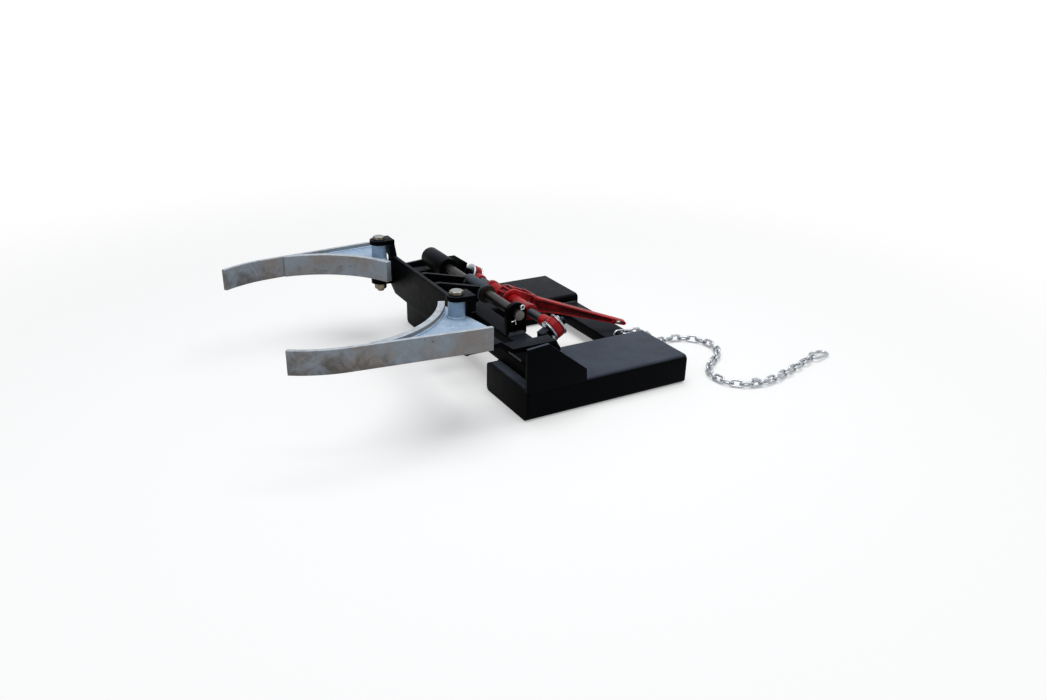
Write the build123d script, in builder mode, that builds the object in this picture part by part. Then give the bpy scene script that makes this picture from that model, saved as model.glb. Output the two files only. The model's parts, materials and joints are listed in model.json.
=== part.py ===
from build123d import *
import math
import os

os.makedirs("parts", exist_ok=True)

# Sizes are in millimetres and angles in degrees.
# x runs from the jaws to the open end of the fork pockets, y runs across, z runs up from the floor.
# Near is the side at minus y, far is its mirror image.

# Fork pockets, open at the back
pocket_front = 25.0
pocket_rear = 482.0
pocket_inner = 151.0
pocket_width = 194.0
pocket_height = 75.0
pocket_wall = 6.0
pocket_corner = 12.0
cap_thickness = 6.0

# Front cross beams and side gussets
beam_front = 51.0
beam_depth = 54.0
lower_beam_height = 42.0
upper_beam_height = 36.0
beam_wall = 5.0
beam_corner = 6.0
gusset_thickness = 8.0
gusset_front_top = 178.0
gusset_top = 182.5
gusset_shoulder = 80.0
gusset_toe = 184.0
gusset_toe_height = 101.0
gusset_foot_lap = 6.0

# Rear cross tube
tube_front = 398.0
tube_rear = 480.0
tube_bottom = 21.0
tube_height = 31.0
tube_wall = 4.0
tube_corner = 5.0

# Hinge shaft, ears and split pins
shaft_x = 78.0
shaft_z = 204.0
shaft_diameter = 26.0
shaft_end = 214.0
running_fit = 0.05
ear_radius = 27.0
near_ear_inner = 188.0
far_ear_inner = 172.0
ear_outer = 200.0
far_hub_end = 290.0
shaft_pin_at = 207.0
shaft_pin_diameter = 5.0
shaft_pin_grip = 27.0
shaft_pin_lean = 32.0
pin_hole_play = 0.3

# Tilting head
sleeve_diameter = 45.0
sleeve_half = 51.0
bush_wall = 3.0
bush_flange = 3.0
bush_flange_diameter = 42.0
bush_length = 30.0
plate_front = -67.0
plate_thickness = 10.0
plate_bottom = 150.0
plate_middle_top = 250.0
plate_half = 235.0
plate_horn = 47.0
plate_horn_half = 257.0
plate_horn_bottom = 243.0
arm_inner = 34.0
arm_thickness = 12.0
toe_gap = 0.3
toe_low = 125.0
toe_high = 160.0
lug_radius = 23.5
lug_thickness = 11.5
lug_gap = 0.5

# Jaw pivots
pivot_x = -92.0
pivot_y = 232.0
pivot_diameter = 18.0
pivot_head_width = 27.0
pivot_head_height = 7.5
pivot_nut_height = 15.0
pivot_washer_diameter = 34.0
pivot_washer = 1.5
pivot_bolt_tail = 6.0

# Jaws
jaw_bottom = 198.0
jaw_height = 53.0
arc_x = -338.4
arc_y = 53.8
arc_radius = 257.0
bar_thickness = 10.0
tip_angle = 122.6
bar_bend_angle = 96.2
heel_x = -62.0
shoe_thickness = 16.0
shoe_front_angle = 86.0
shoe_rear_angle = 23.4
web_thickness = 10.0
upper_web_rise = 31.0
boss_diameter = 38.0
boss_height = 80.5
jaw_bush_diameter = 24.0

# Tail levers
tail_thickness = 12.0
tail_drop = 26.0
tail_joggle_start = -28.0
tail_joggle_end = 7.0
tail_hub_radius = 22.0
tail_flange = 25.0
tail_outer = 312.0
tail_inner = 275.0
tail_root_outer = 326.0
tail_root_inner = 262.0
tail_hole_play = 0.3
tail_bolt_diameter = 12.0
tail_bolt_width = 19.0
tail_bolt_head = 8.0
tail_nut_height = 10.0
tail_bolt_end = 3.0
tail_bolt_1 = (-100.0, 298.0)
tail_bolt_2 = (-78.0, 272.0)

# Anchor studs, tilted back from upright, with the ratchet binder between them
binder_behind_beam = 67.0
binder_z = 159.0
stud_y = 216.0
stud_lift = 30.0
stud_diameter = 20.0
stud_reach = 31.0
collar_width = 25.0
collar_length = 21.5
collar_gap = 2.1
stud_pin_diameter = 4.0
stud_pin_gap = 2.5
stud_pin_grip = 21.0
eye_diameter = 54.0
eye_width = 21.0
eye_play = 0.7
eye_flare = 2.6
eye_edge = 3.0
eye_washer = 5.5
eye_washer_diameter = 56.0
eye_neck_diameter = 30.0
eye_neck_end = 160.0
eye_throat_diameter = 20.0
rod_diameter = 22.0
rod_inner_end = 60.0
barrel_half = 105.0
barrel_diameter = 36.0
barrel_collar_diameter = 40.0
barrel_collar = 14.0

# Ratchet gear, handle and pawl
gear_y = 10.0
gear_width = 26.0
gear_diameter = 62.0
gear_root_diameter = 52.0
gear_teeth = 12
cheek_gap = 2.0
cheek_thickness = 10.0
cheek_radius = 30.0
handle_tip_x = 473.0
handle_tip_y = -95.0
handle_tip_z = 74.0
handle_width = 20.0
handle_web = 6.0
handle_root_depth = 46.0
handle_tip_depth = 11.0
bridge_start = 59.0
bridge_end = 74.0
tip_slot_length = 18.0
tip_slot_width = 7.0
pawl_orbit = 47.0
pawl_pin_diameter = 8.0
pawl_hub_radius = 7.0
pawl_reach = 19.0
pawl_spread = 35.0
pawl_nose = 4.0
pawl_thumb = 27.0

# Safety chain, laid down behind the near pocket
wire = 6.0
link_pitch = 24.5
link_play = 0.9
link_opening = 10.0
link_count = 37
joining_link_at = 27
joining_nut_diameter = 12.0
joining_nut_length = 13.0
staple_wire = 7.0
staple_gap = 15.0
staple_rise = 7.0
staple_x = 414.0
hook_wire = 8.0
hook_arc = 13.0
hook_straight = 44.0
gate_diameter = 6.0
gate_pin_diameter = 3.0
gate_pin_at = -11.0
gate_front = -15.0
gate_back = 16.6
nose_start = 17.0
ear_play = 0.3
ear_plate = 2.0

# Sizes that follow from the ones above
pocket_middle = pocket_inner + pocket_width / 2
pocket_outer = pocket_inner + pocket_width
gusset_inner = pocket_outer - gusset_thickness
beam_middle = beam_front + beam_depth / 2
beam_seam = pocket_height + lower_beam_height
beam_top = beam_seam + upper_beam_height
plate_back = plate_front + plate_thickness
boss_top = jaw_bottom + boss_height
upper_lug_bottom = boss_top + lug_gap
upper_lug_top = upper_lug_bottom + lug_thickness
tail_bottom = jaw_bottom - tail_thickness
lower_lug_top = tail_bottom - lug_gap
lower_lug_bottom = lower_lug_top - lug_thickness
bolt_head_bottom = upper_lug_top + pivot_washer
nut_top = lower_lug_bottom - pivot_washer
nut_bottom = nut_top - pivot_nut_height
sleeve_bore = shaft_diameter / 2 + running_fit + bush_wall
lift = math.radians(stud_lift)
binder_x = beam_front + beam_depth + binder_behind_beam
washer_face = eye_width / 2 + eye_washer
collar_start = washer_face + collar_gap
stud_base = collar_start + collar_length
base_x = binder_x - stud_base * math.cos(lift)
far_shaft_end = far_hub_end + shaft_end - ear_outer
far_pin_at = far_hub_end + shaft_pin_at - ear_outer
gear_low = gear_y - gear_width / 2
gear_high = gear_y + gear_width / 2
near_cheek_inner = gear_low - cheek_gap
near_cheek_outer = near_cheek_inner - cheek_thickness
far_cheek_inner = gear_high + cheek_gap
far_cheek_outer = far_cheek_inner + cheek_thickness


def save(piece, label):
    piece.part.label = label
    export_step(piece.part, "parts/" + label + ".step")


def jaw_point(radius, angle, side):
    turn = math.radians(angle)
    return (arc_x + radius * math.cos(turn), side * (arc_y + radius * math.sin(turn)))


def mirrored(points, side):
    return [(x, side * y) for x, y in points]


# A split pin along z: round shank, eye at the top, spread legs at the bottom
def split_pin(diameter, grip):
    half = grip / 2
    leg = diameter * 1.5
    with BuildPart() as pin:
        Cylinder(diameter / 2, grip + diameter)
        with Locations(Location((0, 0, half + diameter * 1.3), (90, 0, 0))):
            Torus(diameter * 0.9, diameter * 0.42)
        for turn in (-1, 1):
            with Locations(Location((turn * leg * 0.38, 0, -half - leg * 0.6), (0, -turn * 42, 0))):
                Cylinder(diameter * 0.34, leg * 1.7)
    return pin


# The frame, side by side
for side, word in ((-1, "near"), (1, "far")):
    with BuildPart() as pocket_block:
        with BuildSketch(Plane.YZ.offset(pocket_front)):
            with Locations((side * pocket_middle, pocket_height / 2)):
                RectangleRounded(pocket_width, pocket_height, pocket_corner)
        extrude(amount=pocket_rear - pocket_front)

    with BuildPart() as fork_pocket:
        with BuildSketch(Plane.YZ.offset(pocket_front + cap_thickness)):
            with Locations((side * pocket_middle, pocket_height / 2)):
                RectangleRounded(pocket_width, pocket_height, pocket_corner)
                RectangleRounded(
                    pocket_width - 2 * pocket_wall,
                    pocket_height - 2 * pocket_wall,
                    pocket_corner - pocket_wall,
                    mode=Mode.SUBTRACT,
                )
        extrude(amount=pocket_rear - pocket_front - cap_thickness)
    save(fork_pocket, word + "_fork_pocket")

    with BuildPart() as pocket_cap:
        with BuildSketch(Plane.YZ.offset(pocket_front)):
            with Locations((side * pocket_middle, pocket_height / 2)):
                RectangleRounded(pocket_width, pocket_height, pocket_corner)
        extrude(amount=cap_thickness)
    save(pocket_cap, word + "_pocket_cap")

    gusset_foot = pocket_height - gusset_foot_lap
    gusset_high = max(side * pocket_outer, side * gusset_inner)
    with BuildPart() as gusset:
        with BuildSketch(Plane.XZ.offset(-gusset_high)):
            with BuildLine():
                Polyline(
                    (pocket_front, gusset_foot),
                    (pocket_front, gusset_front_top),
                    (gusset_shoulder, gusset_top),
                    (gusset_toe, gusset_toe_height),
                    (gusset_toe + 2, gusset_foot),
                    close=True,
                )
            make_face()
        extrude(amount=gusset_thickness)
        add(pocket_block.part, mode=Mode.SUBTRACT)
    save(gusset, word + "_side_gusset")

    ear_inner = near_ear_inner if side < 0 else far_ear_inner
    ear_high = max(side * ear_inner, side * ear_outer)
    with BuildPart() as ear:
        with BuildSketch(Plane.XZ.offset(-ear_high)):
            with Locations((shaft_x, shaft_z)):
                Circle(ear_radius)
            with Locations((shaft_x, (beam_top + shaft_z) / 2)):
                Rectangle(2 * ear_radius, shaft_z - beam_top)
            with Locations((shaft_x, shaft_z)):
                Circle(shaft_diameter / 2 + running_fit, mode=Mode.SUBTRACT)
        extrude(amount=ear_outer - ear_inner)
        if side > 0:
            # The far ear's bearing goes on as a long hub over the far lever
            with BuildSketch(Plane.XZ.offset(-far_hub_end)):
                with Locations((shaft_x, shaft_z)):
                    Circle(ear_radius)
                    Circle(shaft_diameter / 2 + running_fit, mode=Mode.SUBTRACT)
            extrude(amount=far_hub_end - ear_outer)
    save(ear, word + "_shaft_ear")

# Beams and the rear tube run right across
with BuildPart() as lower_beam:
    with BuildSketch(Plane.XZ.offset(-gusset_inner)):
        with Locations((beam_middle, pocket_height + lower_beam_height / 2)):
            RectangleRounded(beam_depth, lower_beam_height, beam_corner)
            RectangleRounded(
                beam_depth - 2 * beam_wall,
                lower_beam_height - 2 * beam_wall,
                beam_corner - beam_wall,
                mode=Mode.SUBTRACT,
            )
    extrude(amount=2 * gusset_inner)
save(lower_beam, "lower_cross_beam")

with BuildPart() as upper_beam:
    with BuildSketch(Plane.XZ.offset(-gusset_inner)):
        with Locations((beam_middle, beam_seam + upper_beam_height / 2)):
            RectangleRounded(beam_depth, upper_beam_height, beam_corner)
            RectangleRounded(
                beam_depth - 2 * beam_wall,
                upper_beam_height - 2 * beam_wall,
                beam_corner - beam_wall,
                mode=Mode.SUBTRACT,
            )
    extrude(amount=2 * gusset_inner)
save(upper_beam, "upper_cross_beam")

with BuildPart() as rear_tube:
    with BuildSketch(Plane.XZ.offset(-pocket_inner)):
        with Locations(((tube_front + tube_rear) / 2, tube_bottom + tube_height / 2)):
            RectangleRounded(tube_rear - tube_front, tube_height, tube_corner)
            RectangleRounded(
                tube_rear - tube_front - 2 * tube_wall,
                tube_height - 2 * tube_wall,
                tube_corner - tube_wall,
                mode=Mode.SUBTRACT,
            )
    extrude(amount=2 * pocket_inner)
save(rear_tube, "rear_cross_tube")

# Hinge shaft with a split pin at each end
pin_places = [
    Location((shaft_x, -shaft_pin_at, shaft_z), (0, shaft_pin_lean, 0)),
    Location((shaft_x, far_pin_at, shaft_z), (0, shaft_pin_lean, 0)),
]
with BuildPart() as shaft:
    with BuildSketch(Plane.XZ.offset(-far_shaft_end)):
        with Locations((shaft_x, shaft_z)):
            Circle(shaft_diameter / 2)
    extrude(amount=far_shaft_end + shaft_end)
    chamfer(shaft.edges().filter_by(GeomType.CIRCLE), 1.5)
    with Locations(*pin_places):
        Cylinder(shaft_pin_diameter / 2 + pin_hole_play, 3 * shaft_diameter, mode=Mode.SUBTRACT)
save(shaft, "hinge_shaft")

shaft_pin = split_pin(shaft_pin_diameter, shaft_pin_grip)
with BuildPart() as shaft_pins:
    with Locations(*pin_places):
        add(shaft_pin.part)
save(shaft_pins, "shaft_split_pins")

# Tilting head
with BuildPart() as sleeve:
    with BuildSketch(Plane.XZ.offset(-sleeve_half)):
        with Locations((shaft_x, shaft_z)):
            Circle(sleeve_diameter / 2)
            Circle(sleeve_bore, mode=Mode.SUBTRACT)
    extrude(amount=2 * sleeve_half)
save(sleeve, "hinge_sleeve")

with BuildPart() as sleeve_bushes:
    for side in (-1, 1):
        inner_end = side * (sleeve_half - bush_length)
        outer_end = side * sleeve_half
        flange_end = side * (sleeve_half + bush_flange)
        with BuildSketch(Plane.XZ.offset(-max(inner_end, outer_end))):
            with Locations((shaft_x, shaft_z)):
                Circle(sleeve_bore)
                Circle(shaft_diameter / 2 + running_fit, mode=Mode.SUBTRACT)
        extrude(amount=bush_length)
        with BuildSketch(Plane.XZ.offset(-max(outer_end, flange_end))):
            with Locations((shaft_x, shaft_z)):
                Circle(bush_flange_diameter / 2)
                Circle(shaft_diameter / 2 + running_fit, mode=Mode.SUBTRACT)
        extrude(amount=bush_flange)
save(sleeve_bushes, "sleeve_bushes")

with BuildPart() as front_plate:
    with BuildSketch(Plane.YZ.offset(plate_front)):
        with BuildLine():
            Polyline(
                (-plate_half, plate_bottom + 25),
                (-plate_half, plate_horn_bottom),
                (-plate_horn_half, plate_horn_bottom + 10),
                (-plate_horn_half, upper_lug_bottom),
                (-plate_horn_half + plate_horn, upper_lug_bottom),
                (-plate_horn_half + plate_horn + 14, plate_middle_top),
                (plate_horn_half - plate_horn - 14, plate_middle_top),
                (plate_horn_half - plate_horn, upper_lug_bottom),
                (plate_horn_half, upper_lug_bottom),
                (plate_horn_half, plate_horn_bottom + 10),
                (plate_half, plate_horn_bottom),
                (plate_half, plate_bottom + 25),
                (plate_half - 40, plate_bottom),
                (-plate_half + 40, plate_bottom),
                close=True,
            )
        make_face()
    extrude(amount=plate_thickness)
save(front_plate, "head_front_plate")

for side, word in ((-1, "near"), (1, "far")):
    arm_high = max(side * arm_inner, side * (arm_inner + arm_thickness))
    with BuildPart() as arm:
        with BuildSketch(Plane.XZ.offset(-arm_high)):
            with BuildLine():
                Polyline(
                    (plate_back, plate_middle_top),
                    (plate_back + 12, plate_middle_top),
                    (shaft_x - 10, shaft_z + 19),
                    (shaft_x, shaft_z),
                    (shaft_x - 24, shaft_z - 18),
                    (plate_back + 40, toe_high + 10),
                    (plate_back + 40, toe_high),
                    (beam_front - toe_gap, toe_high),
                    (beam_front - toe_gap, toe_low),
                    (plate_back + 30, toe_low),
                    (plate_back, plate_bottom),
                    close=True,
                )
            make_face()
        extrude(amount=arm_thickness)
        add(sleeve.part, mode=Mode.SUBTRACT)
        with BuildSketch(Plane.XZ.offset(-2 * arm_high if arm_high > 0 else 0)):
            with Locations((shaft_x, shaft_z)):
                Circle(sleeve_bore + 1)
        extrude(amount=4 * arm_inner, mode=Mode.SUBTRACT)
    save(arm, word + "_head_arm")

    upper_tail = [
        (pivot_x, pivot_y + lug_radius),
        (plate_front, plate_horn_half),
        (plate_back, plate_horn_half),
        (plate_back, plate_horn_half - plate_horn),
        (plate_front, plate_horn_half - plate_horn),
        (pivot_x, pivot_y - lug_radius),
    ]
    lower_tail = [
        (pivot_x + 8, pivot_y + lug_radius - 1.5),
        (plate_front, plate_half),
        (plate_front, pivot_y - lug_radius),
        (pivot_x, pivot_y - lug_radius),
    ]
    with BuildPart() as lugs:
        with BuildSketch(Plane.XY.offset(upper_lug_bottom)):
            with Locations((pivot_x, side * pivot_y)):
                Circle(lug_radius)
            with BuildLine():
                Polyline(*mirrored(upper_tail, side), close=True)
            make_face()
            with Locations((pivot_x, side * pivot_y)):
                Circle(pivot_diameter / 2 + running_fit, mode=Mode.SUBTRACT)
        extrude(amount=lug_thickness)
        with BuildSketch(Plane.XY.offset(lower_lug_bottom)):
            with Locations((pivot_x, side * pivot_y)):
                Circle(lug_radius)
            with BuildLine():
                Polyline(*mirrored(lower_tail, side), close=True)
            make_face()
            with Locations((pivot_x, side * pivot_y)):
                Circle(pivot_diameter / 2 + running_fit, mode=Mode.SUBTRACT)
        extrude(amount=lug_thickness)
    save(lugs, word + "_pivot_lugs")

pivots = [(pivot_x, -pivot_y), (pivot_x, pivot_y)]
with BuildPart() as pivot_bolts:
    with BuildSketch(Plane.XY.offset(nut_bottom - pivot_bolt_tail)):
        with Locations(*pivots):
            Circle(pivot_diameter / 2)
    extrude(amount=bolt_head_bottom - nut_bottom + pivot_bolt_tail)
    with BuildSketch(Plane.XY.offset(bolt_head_bottom)):
        with Locations(*pivots):
            RegularPolygon(pivot_head_width / 2, 6, major_radius=False, rotation=12)
    extrude(amount=pivot_head_height)
save(pivot_bolts, "pivot_bolts")

with BuildPart() as pivot_nuts:
    with BuildSketch(Plane.XY.offset(nut_bottom)):
        with Locations(*pivots):
            RegularPolygon(pivot_head_width / 2, 6, major_radius=False, rotation=12)
            Circle(pivot_diameter / 2 + running_fit, mode=Mode.SUBTRACT)
    extrude(amount=pivot_nut_height)
save(pivot_nuts, "pivot_nuts")

with BuildPart() as pivot_washers:
    for height in (upper_lug_top, nut_top):
        with BuildSketch(Plane.XY.offset(height)):
            with Locations(*pivots):
                Circle(pivot_washer_diameter / 2)
                Circle(pivot_diameter / 2 + running_fit, mode=Mode.SUBTRACT)
        extrude(amount=pivot_washer)
save(pivot_washers, "pivot_washers")

# Jaws with their tail levers and anchor studs
bend = math.radians(bar_bend_angle)
for side, word in ((-1, "near"), (1, "far")):
    bolt_places = mirrored((tail_bolt_1, tail_bolt_2), side)
    bar_outer = arc_radius + bar_thickness
    middle_angle = (tip_angle + bar_bend_angle) / 2
    inner_tip = jaw_point(arc_radius, tip_angle, side)
    outer_tip = jaw_point(bar_outer, tip_angle, side)
    inner_middle = jaw_point(arc_radius, middle_angle, side)
    outer_middle = jaw_point(bar_outer, middle_angle, side)
    inner_end = jaw_point(arc_radius, bar_bend_angle, side)
    outer_end = jaw_point(bar_outer, bar_bend_angle, side)
    run = (heel_x - inner_end[0]) / math.sin(bend)
    inner_heel = (heel_x, inner_end[1] - side * run * math.cos(bend))
    outer_heel = (outer_end[0] + run * math.sin(bend), outer_end[1] - side * run * math.cos(bend))
    with BuildPart() as bar:
        with BuildSketch(Plane.XY.offset(jaw_bottom)):
            with BuildLine():
                ThreePointArc(inner_tip, inner_middle, inner_end)
                Polyline(inner_end, inner_heel, outer_heel, outer_end)
                ThreePointArc(outer_end, outer_middle, outer_tip)
                Line(outer_tip, inner_tip)
            make_face()
        extrude(amount=jaw_height)
    save(bar, word + "_jaw_bar")

    # All that lies outside the bar's inner face, cut away from the shoe and the webs
    with BuildPart() as bar_block:
        with BuildSketch(Plane.XY.offset(jaw_bottom)):
            with BuildLine():
                Polyline(
                    inner_end,
                    inner_heel,
                    (inner_heel[0], inner_heel[1] + side * 200),
                    (inner_end[0], inner_end[1] + side * 200),
                    close=True,
                )
            make_face()
        extrude(amount=jaw_height)

    shoe_outer = arc_radius + shoe_thickness
    shoe_middle = (shoe_front_angle + shoe_rear_angle) / 2
    shoe_angles = (shoe_front_angle, shoe_middle, shoe_rear_angle)
    inner_arc = [jaw_point(arc_radius, angle, side) for angle in shoe_angles]
    outer_arc = [jaw_point(shoe_outer, angle, side) for angle in shoe_angles]
    with BuildPart() as shoe:
        with BuildSketch(Plane.XY.offset(jaw_bottom)):
            with BuildLine():
                ThreePointArc(*inner_arc)
                Line(inner_arc[-1], outer_arc[-1])
                ThreePointArc(*outer_arc)
                Line(outer_arc[0], inner_arc[0])
            make_face()
        extrude(amount=jaw_height)
        add(bar_block.part, mode=Mode.SUBTRACT)
    save(shoe, word + "_jaw_shoe")

    with BuildPart() as boss:
        with BuildSketch(Plane.XY.offset(jaw_bottom)):
            with Locations((pivot_x, side * pivot_y)):
                Circle(boss_diameter / 2)
                Circle(jaw_bush_diameter / 2, mode=Mode.SUBTRACT)
        extrude(amount=boss_height)
    save(boss, word + "_jaw_boss")

    with BuildPart() as jaw_bush:
        with BuildSketch(Plane.XY.offset(jaw_bottom)):
            with Locations((pivot_x, side * pivot_y)):
                Circle(jaw_bush_diameter / 2)
                Circle(pivot_diameter / 2 + running_fit, mode=Mode.SUBTRACT)
        extrude(amount=boss_height)
    save(jaw_bush, word + "_jaw_bush")

    shoe_corner = jaw_point(shoe_outer, shoe_rear_angle, 1)
    web_outline = [
        (arc_x + 10, arc_y + arc_radius),
        (heel_x - 1, abs(inner_heel[1]) + 2),
        (pivot_x + 33, pivot_y + 86),
        (pivot_x + 20, pivot_y + 4),
        (pivot_x + 17, pivot_y - 17),
        shoe_corner,
        (arc_x + 100, arc_y + 140),
    ]
    for layer, rise in (("upper", upper_web_rise), ("lower", 0)):
        with BuildPart() as web:
            with BuildSketch(Plane.XY.offset(jaw_bottom + rise)):
                with BuildLine():
                    Polyline(*mirrored(web_outline, side), close=True)
                make_face()
                with Locations((arc_x, side * arc_y)):
                    Circle(shoe_outer, mode=Mode.SUBTRACT)
                with Locations((pivot_x, side * pivot_y)):
                    Circle(boss_diameter / 2, mode=Mode.SUBTRACT)
                if layer == "lower":
                    with Locations(*bolt_places):
                        Circle(tail_bolt_diameter / 2 + running_fit, mode=Mode.SUBTRACT)
            extrude(amount=web_thickness)
            add(bar_block.part, mode=Mode.SUBTRACT)
        save(web, word + "_jaw_" + layer + "_web")

    # The tail lever: a strip bent down in front of the beams, with its end folded behind them.
    # The far lever's end folds up where the near one's folds down, so its stud points down.
    run_x = math.cos(lift)
    run_z = -side * math.sin(lift)
    stud_axis = (run_x, 0, run_z)
    base_z = binder_z - stud_base * run_z
    over_top = jaw_bottom - tail_drop
    over_low = over_top - tail_thickness
    fold = -side * tail_flange
    fold_faces = [
        (base_x, base_z),
        (base_x - tail_thickness * run_x, base_z - tail_thickness * run_z),
    ]
    if side > 0:
        fold_faces.reverse()
    (upper_x, upper_z), (lower_x, lower_z) = fold_faces
    strip = [
        (pivot_x - 40, jaw_bottom),
        (tail_joggle_start, jaw_bottom),
        (tail_joggle_end, over_top),
        (upper_x + (upper_z - over_top) * run_z / run_x, over_top),
        (upper_x + fold * run_z, upper_z - fold * run_x),
        (lower_x + fold * run_z, lower_z - fold * run_x),
        (lower_x + (lower_z - over_low) * run_z / run_x, over_low),
        (tail_joggle_end, over_low),
        (tail_joggle_start, tail_bottom),
        (pivot_x - 40, tail_bottom),
    ]
    tail_plan = [
        (pivot_x - 24, pivot_y + 16),
        (pivot_x - 18, tail_root_outer),
        (pivot_x + 34, tail_root_outer),
        (tail_joggle_end, tail_outer),
        (base_x - 7, tail_outer),
        (base_x + 8, stud_y + 22),
        (base_x + 12, stud_y + 12),
        (base_x + 12, stud_y - 12),
        (base_x + 8, stud_y - 16),
        (base_x, stud_y - 16),
        (base_x - 8, stud_y - 8),
        (base_x - 9, stud_y + 16),
        (base_x - 23, tail_inner),
        (tail_joggle_end, tail_inner - 2),
        (pivot_x + 34, tail_root_inner),
        (pivot_x + 20, pivot_y + 14),
    ]
    with BuildPart() as tail:
        with BuildSketch(Plane.XZ.offset(-400)):
            with BuildLine():
                Polyline(*strip, close=True)
            make_face()
        extrude(amount=800)
        with BuildSketch(Plane.XY.offset(base_z - 100)):
            with BuildLine():
                Polyline(*mirrored(tail_plan, side), close=True)
            make_face()
            with Locations((pivot_x, side * pivot_y)):
                Circle(tail_hub_radius)
            with Locations((pivot_x, side * pivot_y)):
                Circle(pivot_diameter / 2 + tail_hole_play, mode=Mode.SUBTRACT)
            with Locations(*bolt_places):
                Circle(tail_bolt_diameter / 2 + running_fit, mode=Mode.SUBTRACT)
        extrude(amount=300, mode=Mode.INTERSECT)
    save(tail, word + "_tail_lever")

    with BuildPart() as tail_bolts:
        with BuildSketch(Plane.XY.offset(tail_bottom - tail_nut_height)):
            with Locations(*bolt_places):
                RegularPolygon(tail_bolt_width / 2, 6, major_radius=False)
        extrude(amount=tail_nut_height)
        with BuildSketch(Plane.XY.offset(tail_bottom - tail_nut_height - tail_bolt_end)):
            with Locations(*bolt_places):
                Circle(tail_bolt_diameter / 2)
        extrude(amount=tail_bolt_end + tail_nut_height + tail_thickness + web_thickness)
        with BuildSketch(Plane.XY.offset(jaw_bottom + web_thickness)):
            with Locations(*bolt_places):
                RegularPolygon(tail_bolt_width / 2, 6, major_radius=False)
        extrude(amount=tail_bolt_head)
    save(tail_bolts, word + "_tail_bolts")

    stud_middle = (binder_x, side * stud_y, binder_z)
    across = Plane(origin=stud_middle, x_dir=(0, 1, 0), z_dir=stud_axis)
    pin_along = washer_face + stud_pin_gap + stud_pin_diameter / 2
    pin_place = Location(
        (binder_x + pin_along * run_x, side * stud_y, binder_z + pin_along * run_z), (0, side * stud_lift, 90)
    )
    with BuildPart() as stud:
        with BuildSketch(across.offset(-stud_base)):
            Circle(stud_diameter / 2)
        extrude(amount=stud_base + stud_reach)
        chamfer(stud.edges().filter_by(GeomType.CIRCLE).sort_by(Axis.X)[-1], 1.5)
        with BuildSketch(across.offset(-stud_base)):
            Rectangle(collar_width, collar_width)
        extrude(amount=collar_length)
        with Locations(pin_place):
            Cylinder(stud_pin_diameter / 2 + pin_hole_play, 2 * stud_diameter, mode=Mode.SUBTRACT)
    save(stud, word + "_anchor_stud")

    stud_pin = split_pin(stud_pin_diameter, stud_pin_grip)
    with BuildPart() as anchor_pin:
        with Locations(pin_place):
            add(stud_pin.part)
    save(anchor_pin, word + "_anchor_pin")

    # The binder's eye, its two washers and its screw rod
    along = Plane(origin=stud_middle, x_dir=stud_axis, z_dir=(0, -1, 0))
    bore_middle = stud_diameter / 2 + eye_play
    bore_end = bore_middle + eye_flare
    ring_radius = eye_diameter / 2
    half = eye_width / 2
    neck_face = side * eye_neck_end
    neck_back = side * (stud_y - eye_washer_diameter / 2 - 1.5)
    throat_back = side * (stud_y - ring_radius + 5)
    with BuildPart() as eye:
        with BuildSketch(along):
            with BuildLine():
                ThreePointArc((-half, bore_end), (0, bore_middle), (half, bore_end))
                Polyline(
                    (half, bore_end),
                    (half, ring_radius - eye_edge),
                    (half - eye_edge, ring_radius),
                    (eye_edge - half, ring_radius),
                    (-half, ring_radius - eye_edge),
                    (-half, bore_end),
                )
            make_face()
        revolve(axis=Axis(stud_middle, stud_axis))
        with BuildSketch(Plane.XZ.offset(-max(neck_face, neck_back))):
            with Locations((binder_x, binder_z)):
                Circle(eye_neck_diameter / 2)
        extrude(amount=abs(neck_face - neck_back))
        with BuildSketch(Plane.XZ.offset(-max(neck_back, throat_back))):
            with Locations((binder_x, binder_z)):
                Circle(eye_throat_diameter / 2)
        extrude(amount=abs(neck_back - throat_back))
    save(eye, word + "_binder_eye")

    with BuildPart() as eye_washers:
        for start in (-washer_face, half):
            with BuildSketch(across.offset(start)):
                Circle(eye_washer_diameter / 2)
                Circle(bore_end, mode=Mode.SUBTRACT)
            extrude(amount=eye_washer)
    save(eye_washers, word + "_eye_washers")

    with BuildPart() as rod:
        with BuildSketch(Plane.XZ.offset(-max(side * rod_inner_end, side * eye_neck_end))):
            with Locations((binder_x, binder_z)):
                Circle(rod_diameter / 2)
        extrude(amount=eye_neck_end - rod_inner_end)
    save(rod, word + "_screw_rod")

# Barrel and ratchet gear
with BuildPart() as barrel:
    with BuildSketch(Plane.XZ.offset(-barrel_half)):
        with Locations((binder_x, binder_z)):
            Circle(barrel_diameter / 2)
            Circle(rod_diameter / 2 + running_fit, mode=Mode.SUBTRACT)
    extrude(amount=2 * barrel_half)
    for top in (barrel_half, barrel_collar - barrel_half):
        with BuildSketch(Plane.XZ.offset(-top)):
            with Locations((binder_x, binder_z)):
                Circle(barrel_collar_diameter / 2)
                Circle(rod_diameter / 2 + running_fit, mode=Mode.SUBTRACT)
        extrude(amount=barrel_collar)
save(barrel, "ratchet_barrel")

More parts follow.
